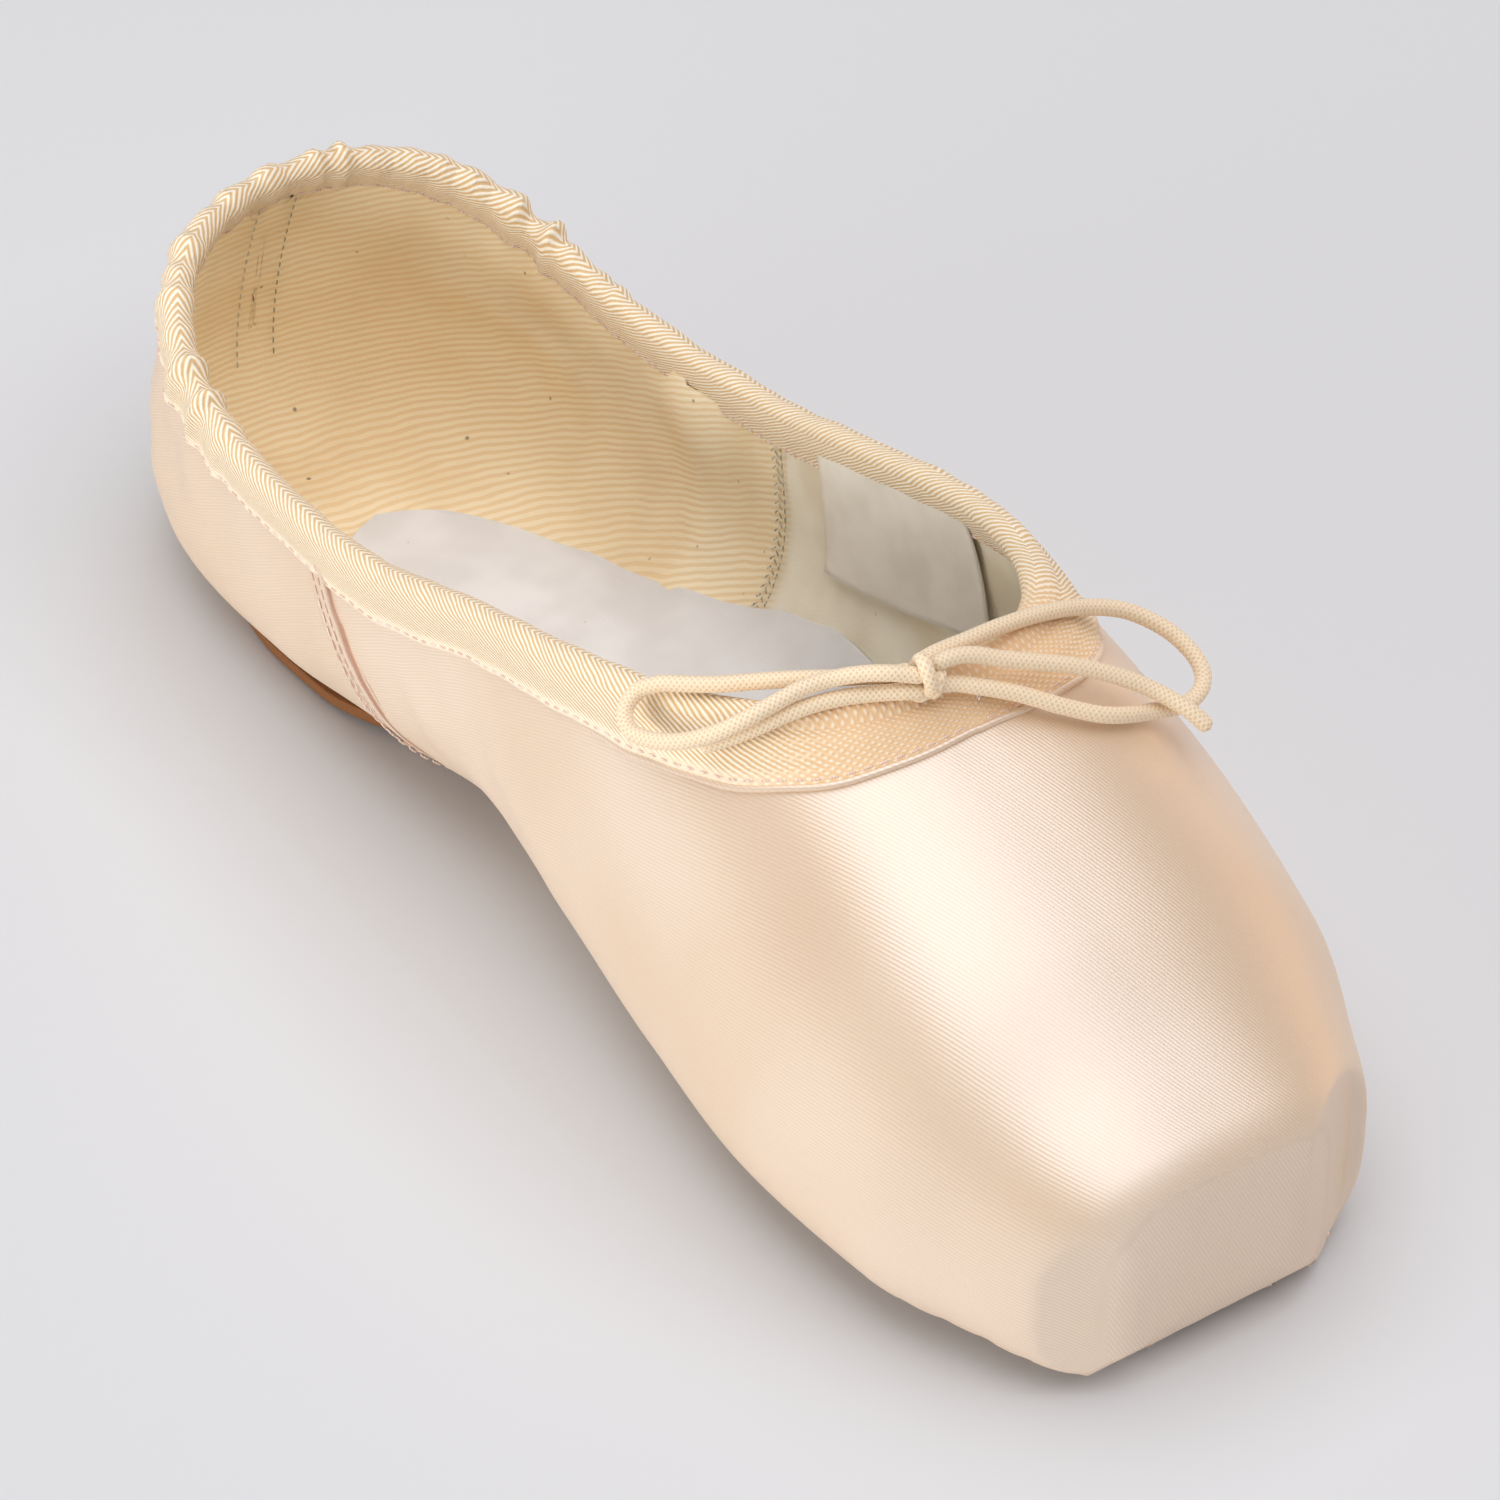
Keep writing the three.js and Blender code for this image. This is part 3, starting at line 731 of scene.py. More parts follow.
def crease_tip(p):
    """Presses the two upright creases beside the platform, with a flat facet outside each."""
    t = p[..., 1] - TOE_Y
    facet = np.where(p[..., 0] < 0, FACET_LEFT_SLOPE * (-p[..., 0] - FACET_LEFT),
                     FACET_RIGHT_SLOPE * (p[..., 0] - FACET_RIGHT))
    under = 0.75 * (TIP_FOOT - p[..., 2])
    gap = np.maximum(facet, under) - t
    cut = 0.5 * (gap + np.sqrt(gap ** 2 + 0.02)) - 0.5 * (np.sqrt(t ** 2 + 0.02) - np.abs(t))
    cut = np.where(gap > -1.5, np.maximum(cut, 0), 0) * soft_step(-t, -9, -5)
    p = p.copy()
    p[..., 1] += cut
    return p


def waviness(p, seed):
    """Soft unevenness of pulled cloth, between about -1 and 1."""
    draw = np.random.default_rng(seed)
    total = np.zeros(p.shape[:-1])
    for _ in range(9):
        direction = unit(draw.normal(size=3)) / draw.uniform(9, 21)
        total += np.sin(2 * math.pi * (p @ direction) + draw.uniform(0, 2 * math.pi)) / 3
    return total


# Where the quarter laps over the vamp on each side, from the tape down to the sole.
SEAM_PATH = [(163.5, 43), (162, 38.5), (159.6, 33.6), (156.6, 28.8), (153, 23.2), (149.6, 17.6),
             (146, 12.4), (142.6, 8.6), (139.4, 6.4)]


def seam_line(step=0.8):
    """Places and heights along the foot of the quarter's fold, the same on both sides."""
    flat = through([(t, z, 0) for t, z in SEAM_PATH], step)
    return flat[:, 0], flat[:, 1]


def seam_shade_nearness(p):
    """1 at the foot of the quarter's fold, fading over 2 mm: where the satin is painted with
    shade.
    """
    near = np.zeros(p.shape[:-1])
    for side in (-1, 1):
        line = wall_point(*seam_line(1.5), side, 0)
        for a in line:
            near = np.maximum(near, np.exp(-(np.linalg.norm(p - a, axis=-1) / 1.3) ** 2))
    return near


def build_quarter_fold(side, name):
    """The folded edge of the quarter, standing proud of the vamp's satin, with its shadowed
    foot."""
    t, z = seam_line()
    line = wall_point(t, z, side, 0)
    along = unit(np.gradient(line, axis=0))
    e = 0.05
    up = unit(wall_point(t, z + e, side, 0) - wall_point(t, z - e, side, 0))
    fore = unit(wall_point(t + e, z, side, 0) - wall_point(t - e, z, side, 0))
    normal = unit(np.cross(fore, up)) * side
    ahead = unit(np.cross(normal, along))
    if ahead[:, 1].mean() > 0:
        ahead = -ahead
    # across the fold: distance towards the toe, and height over the satin
    profile = [(-6.5, -0.15), (-5.2, 0.08), (-4.3, 0.3), (-3.7, 0.3), (-3.1, 0.46), (-2.3, 0.6),
               (-1.5, 0.6), (-0.9, 0.8), (-0.35, 0.84), (0.0, 0.66), (0.1, 0.4), (0.08, 0.16),
               (0.25, 0.06), (0.5, 0.05), (0.8, 0.04), (1.2, -0.12)]
    wave = 0.12 * ripple(lengths(line), 6, 31 + side)
    columns = []
    for out, height in profile:
        moved = line + ahead * (out + wave * (out > -1))[:, None]
        on_last = wall_point(moved[:, 1] - TOE_Y + lean_back(moved), moved[:, 2], side, 0)
        ends = soft_step(np.arange(len(line)), 0, 4) * soft_step(-np.arange(len(line)),
                                                                1 - len(line), -2)
        columns.append(on_last + normal * (height * (0.3 + 0.7 * ends))[:, None])
    points = np.stack(columns, axis=1)
    u = lengths(line)
    v = np.array([out for out, _ in profile], float)
    uv = np.stack(np.meshgrid(u, v, indexing="ij"), axis=-1)
    piece, used = grid_mesh(name, points, uv)
    store(piece, used, foot=np.broadcast_to(soft_step(v, -0.1, 0.12)
                                            * soft_step(-v, -0.95, -0.5), points.shape[:2]))
    if side > 0:
        piece.data.flip_normals()
    thicken(piece, 0.3, -1)
    return piece, line, along, ahead, normal


def lean_back(p):
    """What the heel's lean took from a point's place along the shoe, found by trial."""
    y = p[..., 1]
    t = y - TOE_Y
    for _ in range(4):
        t = t + y - leaned(t, p[..., 2], 0)
    return t - (y - TOE_Y)


# ---- Lining, sock and label --------------------------------------------------------------------


def build_lining():
    """The cotton twill inside, open at the collar like the satin."""
    places = np.concatenate([[0, 0.6, 1.6], np.arange(3, 60, 2.2), np.arange(62, 200, 1.7),
                             np.arange(201, 230, 1.4),
                             LENGTH - 8.4 * (1 - np.linspace(0, 0.98, 12)) ** 2.2])
    skin = Skin(places, 210, wall_at, CAP_SHARES)
    p, normal = skin.table, -skin.normals()
    number, away = near_rim(p, 30)
    t = p[..., 1] - TOE_Y
    rise = -crease_depth(p, LINING_CREASES, inside=True)
    rise += 0.5 * soft_step(-away, -22, -6) * (gather * at_heel)[number]
    rise += 0.22 * waviness(p, 12) * soft_step(p[..., 2], 8, 18)
    rise = np.maximum(rise, -0.45)
    behind = np.array([0, 2.4, 0])
    p = crease_tip(p + normal * rise[..., None] - behind) + behind
    keep = (above_edge(skin.table) < -UNDER_TAPE)[:, :-1]
    piece, used = grid_mesh("cotton_lining", p[:, :-1], skin.uv(), wrap_columns=True, keep=keep,
                            ends=True)
    piece.data.flip_normals()
    forward = soft_step(-t - 0.12 * (30 - p[..., 2]), -146, -143.5)
    store(piece, used, forward=forward[:, :-1])
    thicken(piece, 0.3, -1)
    return piece


SOCK_THICKNESS = 1.1


def build_sock():
    """The white sock on the inner board, turned up a little where the wall starts to rise."""
    share = (1 - np.cos(math.pi * np.linspace(0.006, 0.994, 150))) / 2
    t = (SOCK_OUTLINE[0][0] + share * (SOCK_OUTLINE[-1][0] - SOCK_OUTLINE[0][0]))[:, None]
    u = np.sin(math.pi / 2 * np.linspace(-1, 1, 61))[None]
    x = u * sock_half(t)
    inset = wall_at(t)
    s = section_sizes(t)
    flat = np.minimum(s["flat"], s["half"] - inset - 1)
    reach = np.maximum(s["half"] - inset, 0.4) - flat
    over = np.clip((np.abs(x) - flat) / reach, 0, 0.995)
    height = s["widest"] - s["floor"] - inset
    wall = s["widest"] - height * (1 - over ** s["low"]) ** (1 / s["low"]) + 1.3
    board = LAST["floor"](np.clip(t, 15, LENGTH)) + inset + GAP + 2.1
    blend = 1.6
    z = np.maximum(wall, board) + blend * np.exp(-np.abs(wall - board) / blend) * 0.4
    p = np.stack(np.broadcast_arrays(x, t + TOE_Y, z), axis=-1)
    p[..., 2] += 0.1 * waviness(p, 33) + 0.35 * soft_step(np.abs(u), 0.93, 1) * ripple(t, 16, 8)
    uv = np.stack(np.broadcast_arrays(t, x), axis=-1)
    piece, used = grid_mesh("cotton_sock", p, uv)
    piece.data.flip_normals()
    store(piece, used, edge=np.broadcast_to(soft_step(np.abs(u), 0.9, 1), p.shape[:2]))
    thicken(piece, SOCK_THICKNESS, -1)
    return piece


LABEL_CORNERS = ((137, 50.5), (101, 58.5), (97.5, 37), (132.5, 29))


def build_label():
    """A blank woven label sewn inside the far wing, its lower corners a little loose."""
    a, b, c, d = (np.array(corner, float) for corner in LABEL_CORNERS)
    u = np.linspace(0, 1, 34)[:, None, None]
    v = np.linspace(0, 1, 22)[None, :, None]
    spot = (a * (1 - u) + b * u) * (1 - v) + (d * (1 - u) + c * u) * v
    t, z = spot[..., 0], spot[..., 1]
    z = z - 1.2 * np.sin(math.pi * u[..., 0]) * v[..., 0]
    p = wall_point(t, z, 1, wall_at(t) + 0.55)
    loose = v[..., 0] ** 2 * (0.5 + 1.1 * np.abs(u[..., 0] - 0.5) ** 1.5)
    p[..., 0] -= 0.25 + 0.9 * loose + 0.3 * np.sin(5 * u[..., 0] + 1) * v[..., 0]
    uv = np.stack(np.broadcast_arrays(u[..., 0] * 35, v[..., 0] * 21), axis=-1)
    piece, _ = grid_mesh("blank_label", p, uv)
    thicken(piece, 0.2, 0)
    return piece


# ---- Tape casing -------------------------------------------------------------------------------


def leaf_at(lines, normals, down, height):
    """Points over a leaf, down from the rim by down and off it by height, each a number per rim
    point."""
    row = np.clip(down / LEAF_STEP, 0, LEAF_STEPS - 1e-6)
    k = row.astype(int)
    share = (row - k)[:, None]
    n = np.arange(RIM_POINTS)
    p = lines[k, n] * (1 - share) + lines[k + 1, n] * share
    up = unit(normals[k, n] * (1 - share) + normals[k + 1, n] * share)
    return p + up * np.asarray(height)[..., None]


# Height of the tape over the cloth at each distance down from the rim.
TAPE_PROFILE = [(9.3, 0.1), (9.28, 0.42), (9.05, 0.6), (8.5, 0.62), (7.6, 0.66), (6.7, 0.74),
                (5.8, 0.86), (5.0, 1.0), (4.2, 1.14), (3.4, 1.24), (2.6, 1.28), (1.8, 1.26),
                (1.1, 1.2), (0.5, 1.12), (0.1, 1.08)]
ROLL_STEPS = 9


def build_casing():
    """The twill tape folded over the collar's edge, gathered round the heel."""
    zero = np.zeros(RIM_POINTS)
    columns, across = [], []
    for down, height in TAPE_PROFILE:
        low = down * tape_share * (1 - 0.36 * at_throat)
        low = np.maximum(low + 0.8 * gather_edge * down / TAPE_WIDTH * (down > 0.3), 0)
        lift = height + 0.85 * gather * (0.35 + 0.65 * at_heel) * min(1, down + 0.6)
        columns.append(leaf_at(outer_leaf, outer_up, low, np.maximum(lift, 0.05)))
        across.append(down)
    a = leaf_at(outer_leaf, outer_up, zero, np.maximum(1.05 + 0.7 * gather, 0.5))
    b = leaf_at(inner_leaf, inner_up, zero, np.maximum(1.05 + 0.45 * gather, 0.5))
    middle, half = (a + b) / 2, (a - b) / 2
    along = unit(np.roll(middle, -1, axis=0) - np.roll(middle, 1, axis=0))
    raised = unit(np.cross(half, along))
    raised *= np.sign((raised * (outer_leaf[0] - outer_leaf[2])).sum(axis=1))[:, None]
    size = np.linalg.norm(half, axis=1, keepdims=True)
    for angle in np.linspace(0, math.pi, ROLL_STEPS + 2)[1:-1]:
        squash = 1 + (0.34 * gather * (0.3 + 0.7 * at_heel) + 0.14 * sway)[:, None]
        columns.append(middle + half * math.cos(angle)
                       + raised * size * math.sin(angle) * squash * 0.95)
        across.append(0.1 - 5.6 * angle / math.pi)
    inner_start = across[-1]
    for down, height in TAPE_PROFILE[::-1]:
        low = np.maximum((down + 0.5 * gather_edge * down / TAPE_WIDTH) * inner_share, 0)
        lift = height * 0.86 + 0.55 * gather * (0.35 + 0.65 * at_heel) * min(1, down + 0.6)
        columns.append(leaf_at(inner_leaf, inner_up, low, np.maximum(lift, 0.05)))
        across.append(inner_start - 0.6 - down)
    for down in (6.2, 3.2):
        columns.append(leaf_at(inner_leaf, inner_up, down * inner_share, zero + 0.04))
        across.append(across[-1] - 3)
    for down in (3.2, 6.2):
        columns.append(leaf_at(outer_leaf, outer_up, down * 0.64 * tape_share, zero + 0.04))
        across.append(across[-1] - 3)
    points = np.stack(columns, axis=1)
    u = np.append(rim_run, RIM_LENGTH)
    v = np.array(across + [across[-1] - 3.0])
    uv = np.stack(np.meshgrid(u, v, indexing="ij"), axis=-1)
    piece, used = grid_mesh("tape_casing", points, uv, wrap_rows=True, wrap_columns=True)
    shape = points.shape[:2]
    store(piece, used, throat=np.broadcast_to(np.exp(-(from_throat / 24) ** 4)[:, None], shape),
          fold=np.broadcast_to(soft_step(-np.array(across), -8.4, -6.2)[None], shape),
          heel=np.broadcast_to(at_heel[:, None], shape))
    close_up(piece)
    return piece


def tape_line(inside, down, lift, first, last):
    """A line along the tape, down from the rim, between two shares of the way round."""
    n = np.arange(int(first * RIM_POINTS), int(last * RIM_POINTS)) % RIM_POINTS
    lines, normals = (inner_leaf, inner_up) if inside else (outer_leaf, outer_up)
    height = lift + (0.55 if inside else 0.85) * gather * (0.35 + 0.65 * at_heel)
    share = inner_share if inside else tape_share * (1 - 0.36 * at_throat)
    low = (down * share + 0.8 * gather_edge * down / TAPE_WIDTH if not inside else
           (down + 0.5 * gather_edge * down / TAPE_WIDTH) * share)
    p = leaf_at(lines, normals, low, height)
    row = min(int(down / LEAF_STEP), LEAF_STEPS)
    return p[n], normals[row][n]


def build_rolled_edge():
    """The satin's rolled edge showing below the tape, across the throat."""
    n = np.arange(-THROAT_ROLL_LEFT, THROAT_ROLL_RIGHT) % RIM_POINTS
    low = 9.3 * tape_share * (1 - 0.36 * at_throat) + 0.8 * gather_edge * 9.3 / TAPE_WIDTH + 0.25
    line = leaf_at(outer_leaf, outer_up, low, np.full(RIM_POINTS, 0.32))[n]
    ends = np.minimum(np.arange(len(n)), len(n) - 1 - np.arange(len(n)))
    line -= outer_up[5][n] * (0.7 * np.exp(-ends / 6))[:, None]
    return tube("throat_rolled_edge", line, 0.5, 10)


# ---- Stitches ----------------------------------------------------------------------------------


def stitch_shape():
    """One stitch: a short thread, round on top, that dips into the cloth at both ends."""
    u = np.linspace(-1, 1, 7)
    around = np.linspace(0, 2 * math.pi, 8, endpoint=False)
    plump = np.sqrt(np.maximum(1 - np.abs(u) ** 3, 0.02))
    points = np.stack([np.broadcast_to(u[:, None], (7, 8)), plump[:, None] * np.cos(around),
                       plump[:, None] * np.sin(around) - 0.9 * (u[:, None] ** 4)], axis=-1)
    faces = [(i * 8 + j, i * 8 + (j + 1) % 8, (i + 1) * 8 + (j + 1) % 8, (i + 1) * 8 + j)
             for i in range(6) for j in range(8)]
    return points.reshape(-1, 3), faces + [tuple(range(8)), tuple(range(48, 56))[::-1]]


def stitches(name, rows, length=1.7, width=0.36, proud=0.3):
    """A joined mesh of stitches. rows is a list of (centres, directions, normals)."""
    shape, faces = stitch_shape()
    points, all_faces = [], []
    for centres, directions, normals in rows:
        directions = unit(directions)
        sides = unit(np.cross(normals, directions))
        for c, a, b, n in zip(centres, directions, sides, normals):
            start = len(points) * len(shape)
            points.append(c + shape[:, :1] * a * length / 2 + shape[:, 1:2] * b * width / 2
                          + shape[:, 2:] * n * proud / 2)
            all_faces += [tuple(k + start for k in face) for face in faces]
    mesh = bpy.data.meshes.new(name)
    mesh.from_pydata((np.concatenate(points) * MM).tolist(), [], all_faces)
    piece = added(name, mesh)
    close_up(piece)
    return piece


def running(line, normal, pitch, slant=0.0):
    """Places for a row of stitches along a line."""
    both = even(np.hstack([line, normal]), pitch)
    at, up = both[:, :3], unit(both[:, 3:])
    along = unit(np.gradient(at, axis=0))
    side = np.cross(up, along)
    return at[1:-1], (along + slant * side)[1:-1], up[1:-1]


# ---- Outsole -----------------------------------------------------------------------------------


def build_outsole():
    """The leather sole, with its lower edge worn round."""
    share = (1 - np.cos(math.pi * np.linspace(0.004, 0.996, 170))) / 2
    t = SOLE_OUTLINE[0][0] + share * (SOLE_OUTLINE[-1][0] - SOLE_OUTLINE[0][0])
    half = sole_half(t)
    top = LAST["floor"](np.clip(t, 15, LENGTH)) - GAP
    bottom = top - SOLE_PLY
    low_round, high_round = 0.9, 0.3
    corner = np.linspace(0, math.pi / 2, 6)
    flat = np.linspace(-1, 1, 25)
    points = []
    for place, h, z1, z0 in zip(t, half, top, bottom):
        r0, r1 = min(low_round, h * 0.5), min(high_round, h * 0.3)
        ring = [(x * (h - r0), z0) for x in flat]
        ring += [(h - r0 + r0 * math.sin(a), z0 + r0 * (1 - math.cos(a))) for a in corner[1:]]
        ring += [(h - r1 + r1 * math.cos(a), z1 - r1 + r1 * math.sin(a)) for a in corner]
        ring += [(-x * (h - r1), z1) for x in flat[1:]]
        ring += [(-h + r1 - r1 * math.sin(a), z1 - r1 + r1 * math.cos(a)) for a in corner[1:]]
        ring += [(-h + r0 - r0 * math.cos(a), z0 + r0 - r0 * math.sin(a)) for a in corner[:-1]]
        points.append([(x, place + TOE_Y, z) for x, z in ring])
    points = np.array(points)
    columns = points.shape[1]
    v = np.arange(columns + 1, dtype=float)
    uv = np.stack(np.meshgrid(t, v, indexing="ij"), axis=-1)
    piece, used = grid_mesh("leather_outsole", points, uv, wrap_columns=True)
    side = np.ones(columns)
    side[:25] = 0
    store(piece, used, edge=np.broadcast_to(side[None], points.shape[:2]))
    close_up(piece, [list(range(columns)),
                     list(range((len(t) - 1) * columns, len(t) * columns))])
    return piece


# ---- Materials ---------------------------------------------------------------------------------


def colour(code):
    """An sRGB hex colour as linear red, green, blue and alpha."""
    parts = [int(code[k:k + 2], 16) / 255 for k in (1, 3, 5)]
    return [n / 12.92 if n <= 0.04045 else ((n + 0.055) / 1.055) ** 2.4 for n in parts] + [1.0]


def node(tree, kind, settings=None, **inputs):
    """Adds a node with its settings; inputs are sockets to link or values to set, named as on
    the node with _ for a space, or _0, _1 and so on by place."""
    made = tree.nodes.new("ShaderNode" + kind)
    for key, value in (settings or {}).items():
        setattr(made, key, value)
    for key, value in inputs.items():
        socket = made.inputs[int(key[1:]) if key[0] == "_" else key.replace("_", " ")]
        if isinstance(value, bpy.types.NodeSocket):
            tree.links.new(value, socket)
        else:
            socket.default_value = value
    return made


def new_material(name, **finish):
    material = bpy.data.materials.new(name)
    material.use_nodes = True
    tree = material.node_tree
    shader = tree.nodes["Principled BSDF"]
    for key, value in finish.items():
        shader.inputs[key.replace("_", " ")].default_value = value
    return material, tree, shader


def wave_scale(pitch):
    """Scale of a Wave texture whose bands repeat every pitch, in the units of its vector."""
    return 2 * math.pi / 20 / pitch


def cloth_uv(tree, turn=0.0):
    uv = node(tree, "UVMap", {"uv_map": "cloth_mm"}).outputs[0]
    if not turn:
        return uv
    return node(tree, "VectorRotate", {"rotation_type": "Z_AXIS"}, Vector=uv,
                Angle=math.radians(turn)).outputs[0]


def in_mm(tree):
    place = node(tree, "TexCoord").outputs["Object"]
    return node(tree, "VectorMath", {"operation": "SCALE"}, _0=place, Scale=1 / MM).outputs[0]


def mixed(tree, share, a, b):
    """A colour between two, each a hex code or a socket."""
    inputs = {"_0": share}
    for key, value in (("_6", a), ("_7", b)):
        inputs[key] = colour(value) if isinstance(value, str) else value
    return node(tree, "Mix", {"data_type": "RGBA"}, **inputs).outputs[2]


def ranged(tree, value, low, high, to_low=0.0, to_high=1.0):
    return node(tree, "MapRange", {"interpolation_type": "SMOOTHSTEP"}, _0=value, _1=low, _2=high,
                _3=to_low, _4=to_high).outputs[0]


def maths(tree, operation, a, b=0.0):
    return node(tree, "Math", {"operation": operation}, _0=a, _1=b).outputs[0]


def stored(tree, name):
    return node(tree, "Attribute", {"attribute_name": name}).outputs["Fac"]


def noise(tree, vector, size, detail=2.0, rough=0.5):
    return node(tree, "TexNoise", Vector=vector, Scale=1 / size, Detail=detail,
                Roughness=rough).outputs[0]


def bands(tree, vector, pitch, distortion=0.0, detail=0.0):
    return node(tree, "TexWave", Vector=vector, Scale=wave_scale(pitch), Distortion=distortion,
                Detail=detail).outputs["Fac"]


def bumped(tree, shader, *layers):
    """Bump layers, each (height, depth in mm, strength), the last nearest the eye."""
    normal = None
    for height, depth, strength in layers:
        inputs = {"Height": height, "Distance": depth * MM, "Strength": strength}
        if normal is not None:
            inputs["Normal"] = normal
        normal = node(tree, "Bump", **inputs).outputs[0]
    tree.links.new(normal, shader.inputs["Normal"])


def paint(tree, shader, base, rough=None):
    tree.links.new(base, shader.inputs["Base Color"])
    if rough is not None:
        tree.links.new(rough, shader.inputs["Roughness"])


def satin():
    """Acetate satin, woven with long floats: a broad silky gloss that runs in streaks, and very
    fine slanting lines. Its threads lie 0.25 mm apart and are drawn at 0.5 mm to show."""
    material, tree, shader = new_material("peach_satin", Specular_IOR_Level=1.0, IOR=2.3,
                                          Anisotropic=0.7, Sheen_Weight=0.1, Sheen_Roughness=0.4)
    along = node(tree, "Tangent", {"direction_type": "UV_MAP", "uv_map": "cloth_mm"})
    tree.links.new(along.outputs[0], shader.inputs["Tangent"])
    lines = bands(tree, cloth_uv(tree, 62), 0.5, 0.5, 1.0)
    threads = noise(tree, cloth_uv(tree), 0.35, 1.0)
    pulled = noise(tree, in_mm(tree), 38, 1.0)
    base = mixed(tree, ranged(tree, pulled, 0.35, 0.65), "#f0d6b9", "#e8caa7")
    base = mixed(tree, ranged(tree, lines, 0.2, 0.8, 0.0, 0.3), base, "#cfa57c")
    base = mixed(tree, ranged(tree, threads, 0.45, 0.8, 0.0, 0.2), base, "#f6e4d0")
    # Painted shade: the satin darkens to brown down in the pleat notches under the toe.
    base = mixed(tree, ranged(tree, stored(tree, "pleat"), 0.45, 1.0, 0.0, 0.75), base, "#b36a3a")
    # Painted shade: warmer, darker satin along the foot of the quarter's fold on each side.
    base = mixed(tree, ranged(tree, stored(tree, "seam"), 0.3, 1.0, 0.0, 0.3), base, "#d9a274")
    rough = ranged(tree, lines, 0, 1, 0.4, 0.47)
    paint(tree, shader, base, rough)
    bumped(tree, shader, (pulled, 0.8, 0.12), (threads, 0.03, 0.3), (lines, 0.05, 0.3))
    return material


def fold_satin(base_material):
    """The quarter's satin at its folded edge, with the warm shadow that gathers at the foot of
    the fold."""
    material = base_material.copy()
    material.name = "peach_satin_fold"
    tree = material.node_tree
    shader = tree.nodes["Principled BSDF"]
    base = shader.inputs["Base Color"].links[0].from_socket
    base = mixed(tree, maths(tree, "MULTIPLY", stored(tree, "foot"), 0.85), base, "#c07a48")
    tree.links.new(base, shader.inputs["Base Color"])
    return material


def twill_tape():
    """Cotton twill tape in a herringbone: raised slanting ribs 1.25 mm apart that turn back at
    the fold, flattening out towards the lower edge, and a basket weave under the bow."""
    material, tree, shader = new_material("herringbone_tape", Specular_IOR_Level=0.3,
                                          Sheen_Weight=0.1, Sheen_Roughness=0.5)
    uv = node(tree, "SeparateXYZ", _0=cloth_uv(tree))
    u, v = uv.outputs[0], uv.outputs[1]
    away = maths(tree, "ABSOLUTE", maths(tree, "ADD", v, 2.4))
    slant = maths(tree, "SUBTRACT", u, maths(tree, "MULTIPLY", away, 1.5))
    wander = noise(tree, cloth_uv(tree), 3.5, 1.0)
    slant = maths(tree, "ADD", slant, maths(tree, "MULTIPLY", wander, 1.1))
    turn = maths(tree, "MULTIPLY", slant, 2 * math.pi / 1.25)
    ribs = maths(tree, "ADD", maths(tree, "MULTIPLY", maths(tree, "SINE", turn), 0.5), 0.5)
    shown = node(tree, "Mix", {"data_type": "FLOAT"}, _0=stored(tree, "fold"), _2=0.6,
                 _3=ribs).outputs[0]
    basket = maths(tree, "MULTIPLY", bands(tree, cloth_uv(tree, 45), 0.9),
                   bands(tree, cloth_uv(tree, -45), 0.9))
    throat = stored(tree, "throat")
    weave = node(tree, "Mix", {"data_type": "FLOAT"}, _0=throat, _2=shown, _3=basket).outputs[0]
    threads = noise(tree, cloth_uv(tree), 0.3, 2.0)
    # Painted light and shade: the weave's raised ribs are painted pale as highlights and the
    # hollows between them tan as shade.
    base = mixed(tree, ranged(tree, weave, 0.1, 0.85), "#dfba86", "#fff7e3")
    base = mixed(tree, maths(tree, "MULTIPLY", throat, 0.55), base, "#f6d2ab")
    base = mixed(tree, ranged(tree, threads, 0.35, 0.7, 0.0, 0.2), base, "#ecca9c")
    paint(tree, shader, base, ranged(tree, weave, 0, 1, 0.75, 0.55))
    crumple = node(tree, "VectorMath", {"operation": "MULTIPLY"}, _0=cloth_uv(tree),
                   _1=(1.0, 0.4, 1.0)).outputs[0]
    crumple = maths(tree, "MULTIPLY", noise(tree, crumple, 3.2, 2.0), stored(tree, "heel"))
    bumped(tree, shader, (crumple, 1.6, 0.6), (threads, 0.1, 0.4), (weave, 0.2, 0.7))
    return material


